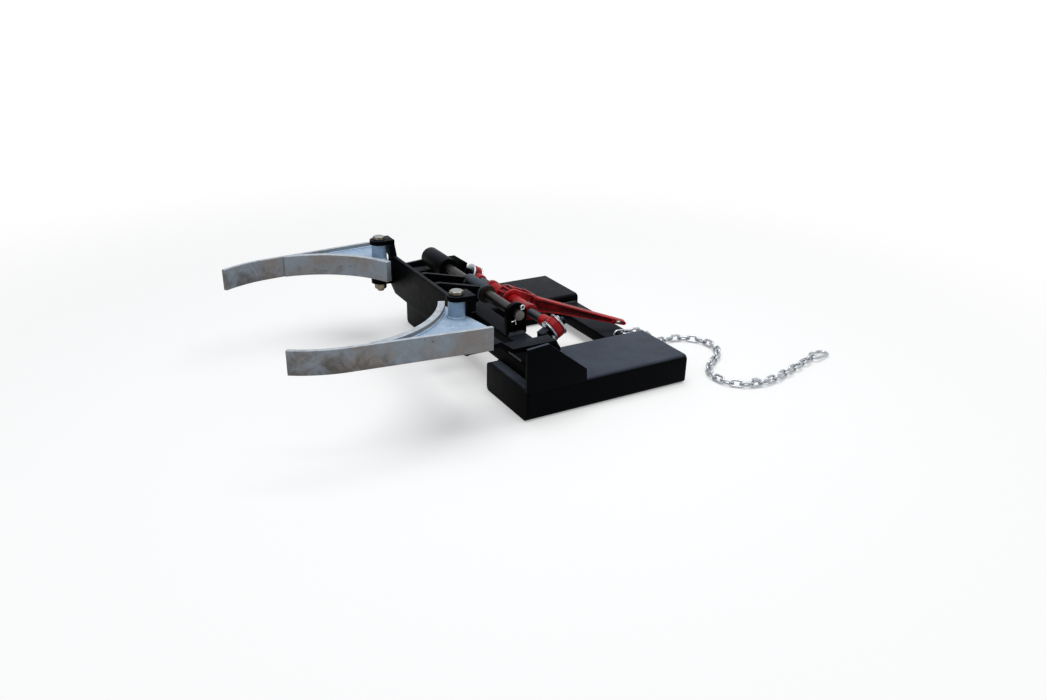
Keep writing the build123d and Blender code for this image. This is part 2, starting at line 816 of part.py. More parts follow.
lever = (handle_tip_x - binder_x, handle_tip_y - gear_y, handle_tip_z - binder_z)
lever_length = math.sqrt(lever[0] ** 2 + lever[1] ** 2 + lever[2] ** 2)
lever_dip = math.atan2(-lever[2], lever[0])
lever_flat = math.hypot(lever[0], lever[1])
lever_plane = Plane(
    origin=(binder_x, gear_y, binder_z),
    x_dir=lever,
    z_dir=(lever[1] / lever_flat, -lever[0] / lever_flat, 0),
)
yoke_plane = Plane(
    origin=(binder_x, far_cheek_outer, binder_z),
    x_dir=(math.cos(lever_dip), 0, -math.sin(lever_dip)),
    z_dir=(0, -1, 0),
)
tooth_half = 180.0 / gear_teeth
gear_tip = gear_diameter / 2
gear_root = gear_root_diameter / 2
with BuildPart() as gear:
    with BuildSketch(Plane.XZ.offset(-gear_high)):
        with Locations((binder_x, binder_z)):
            Circle(gear_root)
        for tooth in range(gear_teeth):
            turn = 2 * tooth * tooth_half - math.degrees(lever_dip)
            corners = []
            for reach, swing in ((gear_root - 3, -9), (gear_tip, -5), (gear_tip, 5), (gear_root - 3, 9)):
                angle = math.radians(turn + swing)
                corners.append((binder_x + reach * math.cos(angle), binder_z + reach * math.sin(angle)))
            with BuildLine():
                Polyline(*corners, close=True)
            make_face()
        with Locations((binder_x, binder_z)):
            Circle(barrel_diameter / 2, mode=Mode.SUBTRACT)
    extrude(amount=gear_width)
save(gear, "ratchet_gear")

# Handle: two cheeks beside the gear, a bridge behind it and a tapered I-shaped lever
root_half = handle_root_depth / 2
tip_half = handle_tip_depth / 2
pawl_x = binder_x + pawl_orbit * math.cos(lever_dip)
pawl_z = binder_z - pawl_orbit * math.sin(lever_dip)
with BuildPart() as handle:
    with BuildSketch(lever_plane):
        with BuildLine():
            Polyline(
                (bridge_start + 2, root_half - 3),
                (bridge_end + 15, root_half - 5),
                (lever_length - tip_half, tip_half),
                (lever_length - 1, tip_half * 0.6),
                (lever_length + 1, 0),
                (lever_length - 1, -tip_half * 0.6),
                (lever_length - tip_half, -tip_half),
                (bridge_end + 60, -root_half + 11),
                (bridge_end + 25, -root_half + 6),
                (bridge_start + 2, -root_half + 2),
                close=True,
            )
        make_face()
    extrude(amount=handle_width / 2, both=True)
    recess_depth = (handle_width - handle_web) / 2
    for face, depth in ((handle_width / 2, -recess_depth), (-handle_width / 2, recess_depth)):
        with BuildSketch(lever_plane.offset(face)):
            with BuildLine():
                Polyline(
                    (bridge_start + 6, root_half - 12),
                    (bridge_end + 15, root_half - 10),
                    (lever_length - 42, tip_half - 2),
                    (lever_length - 42, 2 - tip_half),
                    (bridge_end + 60, -root_half + 16),
                    (bridge_end + 25, -root_half + 11),
                    (bridge_end + 8, -root_half + 9),
                    close=True,
                )
            make_face()
        extrude(amount=depth, mode=Mode.SUBTRACT)
    with BuildSketch(lever_plane.offset(-handle_width)):
        with Locations((lever_length - 19, 0)):
            SlotOverall(tip_slot_length, tip_slot_width)
    extrude(amount=2 * handle_width, mode=Mode.SUBTRACT)
    with BuildSketch(yoke_plane):
        with BuildLine():
            Polyline(
                (bridge_start, root_half),
                (bridge_end, root_half - 4),
                (bridge_end, 4 - root_half),
                (bridge_start, -root_half),
                close=True,
            )
        make_face()
    extrude(amount=far_cheek_outer - near_cheek_outer)
    for cheek_high in (near_cheek_inner, far_cheek_outer):
        with BuildSketch(Plane.XZ.offset(-cheek_high)):
            with Locations((binder_x, binder_z)):
                Circle(cheek_radius)
        extrude(amount=cheek_thickness)
        with BuildSketch(yoke_plane.offset(far_cheek_outer - cheek_high)):
            with BuildLine():
                Polyline(
                    (0, cheek_radius),
                    (bridge_end - 5, root_half - 3),
                    (bridge_end - 5, 3 - root_half),
                    (0, -cheek_radius),
                    close=True,
                )
            make_face()
        extrude(amount=cheek_thickness)
    with BuildSketch(Plane.XZ.offset(-far_cheek_outer)):
        with Locations((binder_x, binder_z)):
            Circle(barrel_diameter / 2 + running_fit)
        with Locations((pawl_x, pawl_z)):
            Circle(pawl_pin_diameter / 2)
    extrude(amount=far_cheek_outer - near_cheek_outer, mode=Mode.SUBTRACT)
save(handle, "ratchet_handle")

with BuildPart() as pawl_pin:
    with BuildSketch(Plane.XZ.offset(-far_cheek_outer)):
        with Locations((pawl_x, pawl_z)):
            Circle(pawl_pin_diameter / 2)
    extrude(amount=far_cheek_outer - near_cheek_outer)
save(pawl_pin, "pawl_pin")

spread = math.radians(pawl_spread)
nose_back = pawl_reach * math.cos(spread)
nose_side = pawl_reach * math.sin(spread)
with BuildPart() as pawl:
    with BuildSketch(yoke_plane.offset(far_cheek_outer - gear_high)):
        with Locations((pawl_orbit, 0)):
            Circle(pawl_hub_radius)
        for end in (-1, 1):
            with BuildLine():
                Polyline(
                    (pawl_orbit + 2, end * (pawl_hub_radius - 1)),
                    (pawl_orbit - nose_back + 1, end * (nose_side + 1)),
                    (pawl_orbit - nose_back, end * nose_side),
                    (pawl_orbit - nose_back + 1, end * (nose_side - pawl_nose)),
                    (pawl_orbit - 5, 0),
                    close=True,
                )
            make_face()
        with BuildLine():
            Polyline(
                (pawl_orbit - 3, 0),
                (pawl_orbit - 2.5, pawl_thumb),
                (pawl_orbit + 2.5, pawl_thumb),
                (pawl_orbit + 3, 0),
                close=True,
            )
        make_face()
        with Locations((pawl_orbit, 0)):
            Circle(pawl_pin_diameter / 2 + running_fit, mode=Mode.SUBTRACT)
    extrude(amount=gear_width)
save(pawl, "ratchet_pawl")

# Safety chain: staple, links, joining link and snap hook along one laid-down route
rest = wire / 2 + (link_opening + wire) / 2 * math.sin(math.radians(45))
on_tube = tube_bottom + tube_height + rest + 0.4
on_floor = rest + 0.7
standing = wire + link_opening / 2 + 0.8
staple_eye_y = staple_gap - pocket_inner
staple_z = on_tube + staple_rise
route_points = [
    (staple_x, staple_eye_y, staple_z),
    (staple_x + 25, staple_eye_y, staple_z - 1.6),
    (staple_x + 48, staple_eye_y, on_tube + 4.4),
    (tube_rear - 1, staple_eye_y, on_tube + 3.6),
    (tube_rear + 22, staple_eye_y + 1, on_tube - 4.5),
    (tube_rear + 41, staple_eye_y + 3, 41),
    (tube_rear + 60, staple_eye_y + 7, 26),
    (tube_rear + 80, staple_eye_y + 12, 14.2),
    (tube_rear + 103, staple_eye_y + 17, on_floor + 0.6),
    (pocket_rear + 126, staple_eye_y + 18, on_floor),
    (pocket_rear + 178, staple_eye_y - 1, on_floor),
    (pocket_rear + 208, staple_eye_y - 54, on_floor),
    (pocket_rear + 190, staple_eye_y - 114, on_floor),
    (pocket_rear + 139, staple_eye_y - 154, on_floor),
    (pocket_rear + 90, staple_eye_y - 194, on_floor),
    (pocket_rear + 78, staple_eye_y - 252, on_floor),
    (pocket_rear + 116, staple_eye_y - 300, on_floor + 0.3),
    (pocket_rear + 180, staple_eye_y - 314, standing),
    (pocket_rear + 243, staple_eye_y - 302, standing),
    (pocket_rear + 328, staple_eye_y - 277, standing),
    (pocket_rear + 428, staple_eye_y - 252, standing),
]
with BuildLine() as route:
    Spline(*route_points)
route_edge = route.line

stops = [route_edge @ 0.0]
place = 0.0
for step in range(link_count + 1):
    low = place
    high = min(1.0, place + 0.08)
    for halving in range(24):
        middle = (low + high) / 2
        if (route_edge @ middle - stops[-1]).length < link_pitch:
            low = middle
        else:
            high = middle
    place = high
    stops.append(route_edge @ place)

half_straight = (link_pitch + link_play - link_opening) / 2
link_arc = (link_opening + wire) / 2
with BuildPart() as link:
    for end in (-1, 1):
        with BuildSketch(Plane.YZ.offset(end * half_straight)):
            with Locations((link_arc, 0)):
                Circle(wire / 2)
        revolve(axis=Axis((end * half_straight, 0, 0), (0, 0, -end)), revolution_arc=180)
        with Locations((0, end * link_arc, 0)):
            Cylinder(wire / 2, 2 * half_straight, rotation=(0, 90, 0))

link_places = []
for number in range(link_count + 1):
    start = stops[number]
    ahead = (stops[number + 1] - start).normalized()
    aside = ahead.cross(Vector(0, 0, 1)).normalized()
    upward = aside.cross(ahead)
    settle = max(0, min(1, (number - link_count + 7) / 6))
    upright = max(0, 1 - number / 6)
    roll = math.radians(-45 - 45 * upright + 45 * settle + 90 * (number % 2))
    facing = upward * math.cos(roll) + aside * math.sin(roll)
    middle = (start + stops[number + 1]) * 0.5
    link_places.append(Plane(origin=middle, x_dir=ahead, z_dir=facing).location)

plain_places = [spot for number, spot in enumerate(link_places) if number != joining_link_at]
with BuildPart() as chain:
    with Locations(*plain_places):
        add(link.part)
save(chain, "safety_chain")

with BuildPart() as joining_link:
    with Locations(link_places[joining_link_at]):
        add(link.part)
        with Locations((0, link_arc, 0)):
            Cylinder(joining_nut_diameter / 2, joining_nut_length, rotation=(0, 90, 0))
save(joining_link, "chain_joining_link")

staple_middle = staple_x + (staple_wire + link_play) / 2
staple_frame = Plane(origin=(staple_middle, staple_eye_y, staple_z), x_dir=(0, 0, 1), z_dir=(1, 0, 0))
staple_arc = (link_opening + 1 + staple_wire) / 2
with BuildPart() as staple:
    with BuildSketch(Plane.YZ.offset(0)):
        with Locations((staple_arc, 0)):
            Circle(staple_wire / 2)
    revolve(axis=Axis((0, 0, 0), (0, 0, -1)), revolution_arc=180)
    for end in (-1, 1):
        with Locations((-tube_height / 2, end * staple_arc, 0)):
            Cylinder(staple_wire / 2, tube_height, rotation=(0, 90, 0))
with BuildPart() as chain_staple:
    with Locations(staple_frame.location * Pos(-staple_arc, 0, 0)):
        add(staple.part)
    with Locations((staple_middle, staple_eye_y, tube_bottom)):
        Box(4 * staple_arc, 4 * staple_arc, 2 * tube_height, mode=Mode.SUBTRACT)
save(chain_staple, "chain_staple")

hook_start = stops[link_count + 1]
heading = (hook_start - stops[link_count]).normalized()
heading = Vector(heading.X, heading.Y, -0.09).normalized()
hook_aside = Vector(0, 0, 1).cross(heading).normalized()
hook_face = heading.cross(hook_aside)
hook_half = hook_straight / 2
hook_middle = hook_start + heading * (hook_half + hook_arc - (hook_wire + link_play) / 2)
hook_place = Plane(origin=hook_middle, x_dir=heading, z_dir=hook_face).location
ear_low = gate_diameter / 2 + ear_play
with BuildPart() as hook_shape:
    for end in (-1, 1):
        with BuildSketch(Plane.YZ.offset(end * hook_half)):
            with Locations((hook_arc, 0)):
                Circle(hook_wire / 2)
        revolve(axis=Axis((end * hook_half, 0, 0), (0, 0, -end)), revolution_arc=180)
    with Locations((0, -hook_arc, 0)):
        Cylinder(hook_wire / 2, hook_straight, rotation=(0, 90, 0))
    with Locations(((nose_start + hook_half) / 2, hook_arc, 0)):
        Cylinder(hook_wire / 2, hook_half - nose_start, rotation=(0, 90, 0))
    with Locations((-hook_half + 2, hook_arc, 0)):
        Cylinder(hook_wire / 2, 4, rotation=(0, 90, 0))
    for end in (-1, 1):
        with Locations(((gate_pin_at - hook_half + 3) / 2, hook_arc, end * (ear_low + ear_plate / 2))):
            Box(hook_half + gate_pin_at + 5, gate_diameter, ear_plate)
    with Locations((gate_pin_at, hook_arc, 0)):
        Cylinder(gate_pin_diameter / 2, 40, mode=Mode.SUBTRACT)
with BuildPart() as snap_hook:
    with Locations(hook_place):
        add(hook_shape.part)
save(snap_hook, "snap_hook")

with BuildPart() as gate_shape:
    with Locations(((gate_front + gate_back) / 2, hook_arc, 0)):
        Cylinder(gate_diameter / 2, gate_back - gate_front, rotation=(0, 90, 0))
    with Locations((gate_pin_at, hook_arc, 0)):
        Cylinder(gate_pin_diameter / 2 + running_fit, 40, mode=Mode.SUBTRACT)
with BuildPart() as snap_gate:
    with Locations(hook_place):
        add(gate_shape.part)
save(snap_gate, "snap_gate")

with BuildPart() as gate_pin_shape:
    with Locations((gate_pin_at, hook_arc, 0)):
        Cylinder(gate_pin_diameter / 2, 2 * (ear_low + ear_plate))
with BuildPart() as snap_gate_pin:
    with Locations(hook_place):
        add(gate_pin_shape.part)
save(snap_gate_pin, "snap_gate_pin")
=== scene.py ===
import bmesh
import bpy
import json
import math
from mathutils import Matrix, Vector


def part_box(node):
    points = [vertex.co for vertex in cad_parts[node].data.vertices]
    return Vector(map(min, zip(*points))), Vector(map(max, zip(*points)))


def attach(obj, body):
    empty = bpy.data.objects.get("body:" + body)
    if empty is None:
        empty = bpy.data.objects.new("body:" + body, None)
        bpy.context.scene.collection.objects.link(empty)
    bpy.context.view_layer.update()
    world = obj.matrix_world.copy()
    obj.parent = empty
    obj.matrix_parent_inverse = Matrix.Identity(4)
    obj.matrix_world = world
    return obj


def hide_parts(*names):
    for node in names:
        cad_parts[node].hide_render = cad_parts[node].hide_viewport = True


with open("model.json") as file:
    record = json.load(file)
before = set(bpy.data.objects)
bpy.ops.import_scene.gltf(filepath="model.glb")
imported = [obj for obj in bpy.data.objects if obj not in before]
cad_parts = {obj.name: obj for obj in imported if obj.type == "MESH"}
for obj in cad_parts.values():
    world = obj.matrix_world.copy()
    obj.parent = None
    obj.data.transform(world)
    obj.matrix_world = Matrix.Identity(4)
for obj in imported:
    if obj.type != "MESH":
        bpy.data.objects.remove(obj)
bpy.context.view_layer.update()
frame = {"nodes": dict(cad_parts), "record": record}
nodes = frame["nodes"]
scene = bpy.context.scene
scene.view_settings.view_transform = "Standard"
mm = 0.001
sides = ((-1, "near"), (1, "far"))
print("frame loaded with", len(nodes), "pieces")


# Camera, where the picture was taken from
cameraView = {
    "place": (-0.86113, -1.84738, 0.93843),
    "right": (0.86891, -0.49451, 0.02121),
    "up": (0.18061, 0.35667, 0.91661),
    "back": (-0.46084, -0.79262, 0.39923),
    "lens": 30.06,
    "sensor": 36.0,
}
cameraData = bpy.data.cameras.new("photoCamera")
cameraData.lens = cameraView["lens"]
cameraData.sensor_width = cameraView["sensor"]
camera = bpy.data.objects.new("photoCamera", cameraData)
scene.collection.objects.link(camera)
turn = Matrix((cameraView["right"], cameraView["up"], cameraView["back"])).transposed().to_4x4()
camera.matrix_world = Matrix.Translation(cameraView["place"]) @ turn
scene.camera = camera
print("camera placed")


def linear(hexText):
    channels = []
    for start in (1, 3, 5):
        c = int(hexText[start:start + 2], 16) / 255
        channels.append(c / 12.92 if c <= 0.04045 else ((c + 0.055) / 1.055) ** 2.4)
    return (*channels, 1.0)


def addNode(tree, kind, settings, inputs):
    node = tree.nodes.new(kind)
    for key, value in settings.items():
        setattr(node, key, value)
    for key, value in inputs.items():
        if isinstance(value, bpy.types.NodeSocket):
            tree.links.new(value, node.inputs[key])
        else:
            node.inputs[key].default_value = value
    return node


def startMaterial(name):
    material = bpy.data.materials.new(name)
    material.use_nodes = True
    tree = material.node_tree
    shader = tree.nodes["Principled BSDF"]
    place = addNode(tree, "ShaderNodeTexCoord", {}, {}).outputs["Object"]
    return material, tree, shader, place


# Light and floor, in metres: white paper under a big soft lamp
studio = {
    "floor": "#fcfcfb",
    "floorReach": 14.0,
    "floorTop": -0.0004,
    "floorRoughness": 0.9,
    "floorSpecular": 0.1,
    "paleness": 0.3,  # share of pure white seen in the paper close by, and all white from fadeTo on
    "fadeFrom": 0.5,
    "fadeTo": 2.3,
    "sky": "#eef1f6",
    "skyStrength": 0.5,
    "keySize": 2.2,
    "keyPower": 58.0,
    "keyPlace": (0.3, -0.2, 2.9),
    "rimSize": 1.6,
    "rimPower": 5.0,
    "rimPlace": (-1.9, -1.2, 2.0),
    "aim": (0.0, 0.0, 0.15),
}
pureWhite = linear("#ffffff")


def seenDirectly(tree):
    rays = addNode(tree, "ShaderNodeLightPath", {}, {})
    seen = addNode(tree, "ShaderNodeMath", {"operation": "MAXIMUM"},
                   {0: rays.outputs["Is Camera Ray"], 1: rays.outputs["Is Glossy Ray"]})
    seen = addNode(tree, "ShaderNodeMath", {"operation": "MAXIMUM"},
                   {0: seen.outputs[0], 1: rays.outputs["Is Transmission Ray"]})
    return seen.outputs[0]


world = bpy.data.worlds.new("studioSky")
scene.world = world
world.use_nodes = True
sky = world.node_tree
sky.nodes.clear()
fill = addNode(sky, "ShaderNodeBackground", {},
               {"Color": linear(studio["sky"]), "Strength": studio["skyStrength"]})
white = addNode(sky, "ShaderNodeBackground", {}, {"Color": pureWhite, "Strength": 1.0})
both = addNode(sky, "ShaderNodeMixShader", {},
               {0: seenDirectly(sky), 1: fill.outputs[0], 2: white.outputs[0]})
addNode(sky, "ShaderNodeOutputWorld", {}, {"Surface": both.outputs[0]})

for word in ("key", "rim"):
    lampData = bpy.data.lights.new(word + "Light", "AREA")
    lampData.size = studio[word + "Size"]
    lampData.energy = studio[word + "Power"]
    lamp = bpy.data.objects.new(word + "Light", lampData)
    lamp.location = studio[word + "Place"]
    lamp.rotation_mode = "QUATERNION"
    lamp.rotation_quaternion = (Vector(studio["aim"]) - lamp.location).to_track_quat("-Z", "Y")
    scene.collection.objects.link(lamp)

reach = studio["floorReach"]
corners = ((-reach, -reach), (reach, -reach), (reach, reach), (-reach, reach))
floorMesh = bpy.data.meshes.new("floor")
floorMesh.from_pydata([(x, y, studio["floorTop"]) for x, y in corners], [], [(0, 1, 2, 3)])
floor = bpy.data.objects.new("floor", floorMesh)
scene.collection.objects.link(floor)
floorPaper, tree, shader, place = startMaterial("floorPaper")
shader.inputs["Base Color"].default_value = linear(studio["floor"])
shader.inputs["Roughness"].default_value = studio["floorRoughness"]
shader.inputs["Specular IOR Level"].default_value = studio["floorSpecular"]
away = addNode(tree, "ShaderNodeVectorMath", {"operation": "LENGTH"}, {0: place})
away = addNode(tree, "ShaderNodeMapRange", {"interpolation_type": "SMOOTHSTEP"},
               {"Value": away.outputs["Value"], "From Min": studio["fadeFrom"], "From Max": studio["fadeTo"],
                "To Min": studio["paleness"]})
faded = addNode(tree, "ShaderNodeMath", {"operation": "MULTIPLY"},
                {0: away.outputs[0], 1: seenDirectly(tree)})
glow = addNode(tree, "ShaderNodeEmission", {}, {"Color": pureWhite, "Strength": 1.0})
paper = addNode(tree, "ShaderNodeMixShader", {},
                {0: faded.outputs[0], 1: shader.outputs[0], 2: glow.outputs[0]})
tree.links.new(paper.outputs[0], tree.nodes["Material Output"].inputs["Surface"])
floorMesh.materials.append(floorPaper)
print("studio lit")


share, first, second, mixed = 0, 6, 7, 2  # sockets of a colour mix: three that go in, one that comes out
noiseSpan = {"From Min": 0.3, "From Max": 0.7}  # where most values of a noise lie

# Satin black powder coat, sprayed and baked on steel: near black, faint sheen at a low angle, slight orange
# peel (drawn coarser than the real 1 mm so that it shows). A grey blue lies on what faces up, partly a film
# of dust and partly a painted sheen of the sky. It is painted thickest on the near pocket, the gussets, the
# studs and the hinge sleeve, and thinner on the far pocket as painted shade. Sizes in mm, as in all finishes
powder = {
    "black": "#060607",
    "dust": "#5b6370",
    "sheen": "#cdd9f2",
    "specular": 0.013,
    "scuff": 26.0,
    "roughness": {"To Min": 0.3, "To Max": 0.46},
    "peel": 5.0,
    "peelDepth": 0.6,
    "peelStrength": 0.1,
    "cloud": 90.0,
    "cloudy": {"To Min": 0.7},
    "facingUp": {"From Min": 0.55, "From Max": 1.0},
    "film": {  # on sides, on tops
        "powderCoat": (0.0, 0.14),
        "cleanPowderCoat": (0.0, 0.11),
        "dustyPowderCoat": (0.01, 0.6),
    },
}
coats = {}
for coatName, (sideDustAndSheen, topDustAndSheen) in powder["film"].items():
    coats[coatName], tree, shader, place = startMaterial(coatName)
    normal = addNode(tree, "ShaderNodeNewGeometry", {}, {}).outputs["Normal"]
    upward = addNode(tree, "ShaderNodeSeparateXYZ", {}, {0: normal})
    # Painted sheen with dust: faces that look up take more of the grey blue, in cloudy patches
    film = addNode(tree, "ShaderNodeMapRange", {},
                   {"Value": upward.outputs["Z"], **powder["facingUp"],
                    "To Min": sideDustAndSheen, "To Max": topDustAndSheen})
    cloud = addNode(tree, "ShaderNodeTexNoise", {},
                    {"Vector": place, "Scale": 1 / (powder["cloud"] * mm), "Detail": 6.0, "Roughness": 0.62})
    cloudy = addNode(tree, "ShaderNodeMapRange", {},
                     {"Value": cloud.outputs["Fac"], **noiseSpan, **powder["cloudy"]})
    film = addNode(tree, "ShaderNodeMath", {"operation": "MULTIPLY"},
                   {0: film.outputs[0], 1: cloudy.outputs[0]})
    colour = addNode(tree, "ShaderNodeMix", {"data_type": "RGBA"},
                     {share: film.outputs[0], first: linear(powder["black"]), second: linear(powder["dust"])})
    tree.links.new(colour.outputs[mixed], shader.inputs["Base Color"])
    scuff = addNode(tree, "ShaderNodeTexNoise", {},
                    {"Vector": place, "Scale": 1 / (powder["scuff"] * mm), "Detail": 7.0, "Roughness": 0.7})
    rough = addNode(tree, "ShaderNodeMapRange", {},
                    {"Value": scuff.outputs["Fac"], **noiseSpan, **powder["roughness"]})
    tree.links.new(rough.outputs[0], shader.inputs["Roughness"])
    peel = addNode(tree, "ShaderNodeTexNoise", {},
                   {"Vector": place, "Scale": 1 / (powder["peel"] * mm), "Detail": 2.0})
    bump = addNode(tree, "ShaderNodeBump", {},
                   {"Height": peel.outputs["Fac"], "Strength": powder["peelStrength"],
                    "Distance": powder["peelDepth"] * mm})
    tree.links.new(bump.outputs[0], shader.inputs["Normal"])
    shader.inputs["Specular IOR Level"].default_value = powder["specular"]
    shader.inputs["Specular Tint"].default_value = linear(powder["sheen"])

# The same coat over weld metal: it flows glossier over the ripples; the grey blue is mixed in where the grit
# stands high, a painted sheen on its crests
beadCoat = {"dusty": {"To Max": 0.36}, "grit": 5.0, "gritDepth": 0.6, "gritStrength": 0.2,
            "roughness": 0.3, "specular": 0.18}
weldCoat, tree, shader, place = startMaterial("powderCoatOnWeld")
grit = addNode(tree, "ShaderNodeTexNoise", {},
               {"Vector": place, "Scale": 1 / (beadCoat["grit"] * mm), "Detail": 4.0})
# Painted sheen: the higher the grit, the more grey blue
dusty = addNode(tree, "ShaderNodeMapRange", {}, {"Value": grit.outputs["Fac"], **beadCoat["dusty"]})
colour = addNode(tree, "ShaderNodeMix", {"data_type": "RGBA"},
                 {share: dusty.outputs[0], first: linear(powder["black"]), second: linear(powder["dust"])})
tree.links.new(colour.outputs[mixed], shader.inputs["Base Color"])
bump = addNode(tree, "ShaderNodeBump", {},
               {"Height": grit.outputs["Fac"], "Strength": beadCoat["gritStrength"],
                "Distance": beadCoat["gritDepth"] * mm})
tree.links.new(bump.outputs[0], shader.inputs["Normal"])
shader.inputs["Roughness"].default_value = beadCoat["roughness"]
shader.inputs["Specular IOR Level"].default_value = beadCoat["specular"]

# Hot-dip galvanised steel, dull zinc: the rolled bars are grey, cool and warm in patches, with brown handling
# marks near the tips; the cut plates and bosses are painted bluer, a painted reflection of blue surroundings.
# On both, faces that look up are painted paler, a painted light from above
zincDips = {
    "galvanisedBar": {
        "cool": "#7d8790", "warm": "#7a7572", "top": "#b0b8c0", "smudge": "#40372f", "speck": "#34322f",
        "patch": 75.0, "markReach": 0.07,
    },
    # Painted reflection: the plate zinc's blue cast
    "galvanisedPlate": {
        "cool": "#88a3c0", "warm": "#7d93ab", "top": "#9db3c9", "smudge": "#5a5f63", "speck": "#4d5358",
        "patch": 60.0, "markReach": -0.08,
    },
}
zincSkin = {
    "mottle": 14.0,
    "mottled": {"To Min": 0.82, "To Max": 1.1},
    "roughness": {"To Min": 0.48, "To Max": 0.66},
    "mottleDepth": 0.7,
    "mottleStrength": 0.3,
    "patched": {"From Min": 0.38, "From Max": 0.62},
    "facingUp": {"From Min": 0.25, "From Max": 0.9},
    "bloomy": {"From Min": 0.25, "From Max": 0.6, "To Min": 0.6},
    "mark": 46.0,
    "marked": {"From Min": 0.5, "From Max": 0.7, "To Max": 0.75},
    "tipward": {"From Min": -0.16, "From Max": -0.42, "To Min": -0.1},  # along the jaw, in metres
    "lower": {"From Min": 0.25, "From Max": 0.2, "To Min": -0.07, "To Max": 0.06},  # down the bar, in metres
    "speckSize": 9.0,
    "speckled": {"From Min": 0.7, "From Max": 0.76, "To Max": 0.7},
    "metallic": 0.12,
    "specular": 0.35,
}
zincs = {}
for zincName, dip in zincDips.items():
    zincs[zincName], tree, shader, place = startMaterial(zincName)
    mottle = addNode(tree, "ShaderNodeTexNoise", {},
                     {"Vector": place, "Scale": 1 / (zincSkin["mottle"] * mm),
                      "Detail": 8.0, "Roughness": 0.7})
    patch = addNode(tree, "ShaderNodeTexNoise", {},
                    {"Vector": place, "Scale": 1 / (dip["patch"] * mm), "Detail": 3.0, "Roughness": 0.6})
    patched = addNode(tree, "ShaderNodeMapRange", {}, {"Value": patch.outputs["Fac"], **zincSkin["patched"]})
    zinc = addNode(tree, "ShaderNodeMix", {"data_type": "RGBA"},
                   {share: patched.outputs[0], first: linear(dip["cool"]), second: linear(dip["warm"])})
    normal = addNode(tree, "ShaderNodeNewGeometry", {}, {}).outputs["Normal"]
    upward = addNode(tree, "ShaderNodeSeparateXYZ", {}, {0: normal})
    # Painted top light: faces that look up are mixed towards a paler colour, as if lit from above, in mottled
    # patches
    bloom = addNode(tree, "ShaderNodeMapRange", {}, {"Value": upward.outputs["Z"], **zincSkin["facingUp"]})
    bloomy = addNode(tree, "ShaderNodeMapRange", {}, {"Value": mottle.outputs["Fac"], **zincSkin["bloomy"]})
    bloom = addNode(tree, "ShaderNodeMath", {"operation": "MULTIPLY"},
                    {0: bloom.outputs[0], 1: bloomy.outputs[0]})
    zinc = addNode(tree, "ShaderNodeMix", {"data_type": "RGBA"},
                   {share: bloom.outputs[0], first: zinc.outputs[mixed], second: linear(dip["top"])})
    mark = addNode(tree, "ShaderNodeTexNoise", {},
                   {"Vector": place, "Scale": 1 / (zincSkin["mark"] * mm), "Detail": 8.0, "Roughness": 0.72,
                    "Distortion": 0.6})
    along = addNode(tree, "ShaderNodeSeparateXYZ", {}, {0: place})
    tipward = addNode(tree, "ShaderNodeMapRange", {},
                      {"Value": along.outputs["X"], **zincSkin["tipward"], "To Max": dip["markReach"]})
    lower = addNode(tree, "ShaderNodeMapRange", {}, {"Value": along.outputs["Z"], **zincSkin["lower"]})
    marked = addNode(tree, "ShaderNodeMath", {"operation": "ADD"},
                     {0: mark.outputs["Fac"], 1: tipward.outputs[0]})
    marked = addNode(tree, "ShaderNodeMath", {"operation": "ADD"},
                     {0: marked.outputs[0], 1: lower.outputs[0]})
    marked = addNode(tree, "ShaderNodeMapRange", {}, {"Value": marked.outputs[0], **zincSkin["marked"]})
    zinc = addNode(tree, "ShaderNodeMix", {"data_type": "RGBA"},
                   {share: marked.outputs[0], first: zinc.outputs[mixed], second: linear(dip["smudge"])})
    speck = addNode(tree, "ShaderNodeTexNoise", {},
                    {"Vector": place, "Scale": 1 / (zincSkin["speckSize"] * mm), "Detail": 2.0})
    speckled = addNode(tree, "ShaderNodeMapRange", {},
                       {"Value": speck.outputs["Fac"], **zincSkin["speckled"]})
    zinc = addNode(tree, "ShaderNodeMix", {"data_type": "RGBA"},
                   {share: speckled.outputs[0], first: zinc.outputs[mixed], second: linear(dip["speck"])})
    mottled = addNode(tree, "ShaderNodeMapRange", {},
                      {"Value": mottle.outputs["Fac"], **noiseSpan, **zincSkin["mottled"]})
    colour = addNode(tree, "ShaderNodeVectorMath", {"operation": "SCALE"},
                     {0: zinc.outputs[mixed], "Scale": mottled.outputs[0]})
    tree.links.new(colour.outputs[0], shader.inputs["Base Color"])
    rough = addNode(tree, "ShaderNodeMapRange", {},
                    {"Value": mottle.outputs["Fac"], **noiseSpan, **zincSkin["roughness"]})
    tree.links.new(rough.outputs[0], shader.inputs["Roughness"])
    bump = addNode(tree, "ShaderNodeBump", {},
                   {"Height": mottle.outputs["Fac"], "Strength": zincSkin["mottleStrength"],
                    "Distance": zincSkin["mottleDepth"] * mm})
    tree.links.new(bump.outputs[0], shader.inputs["Normal"])
    shader.inputs["Metallic"].default_value = zincSkin["metallic"]
    shader.inputs["Specular IOR Level"].default_value = zincSkin["specular"]

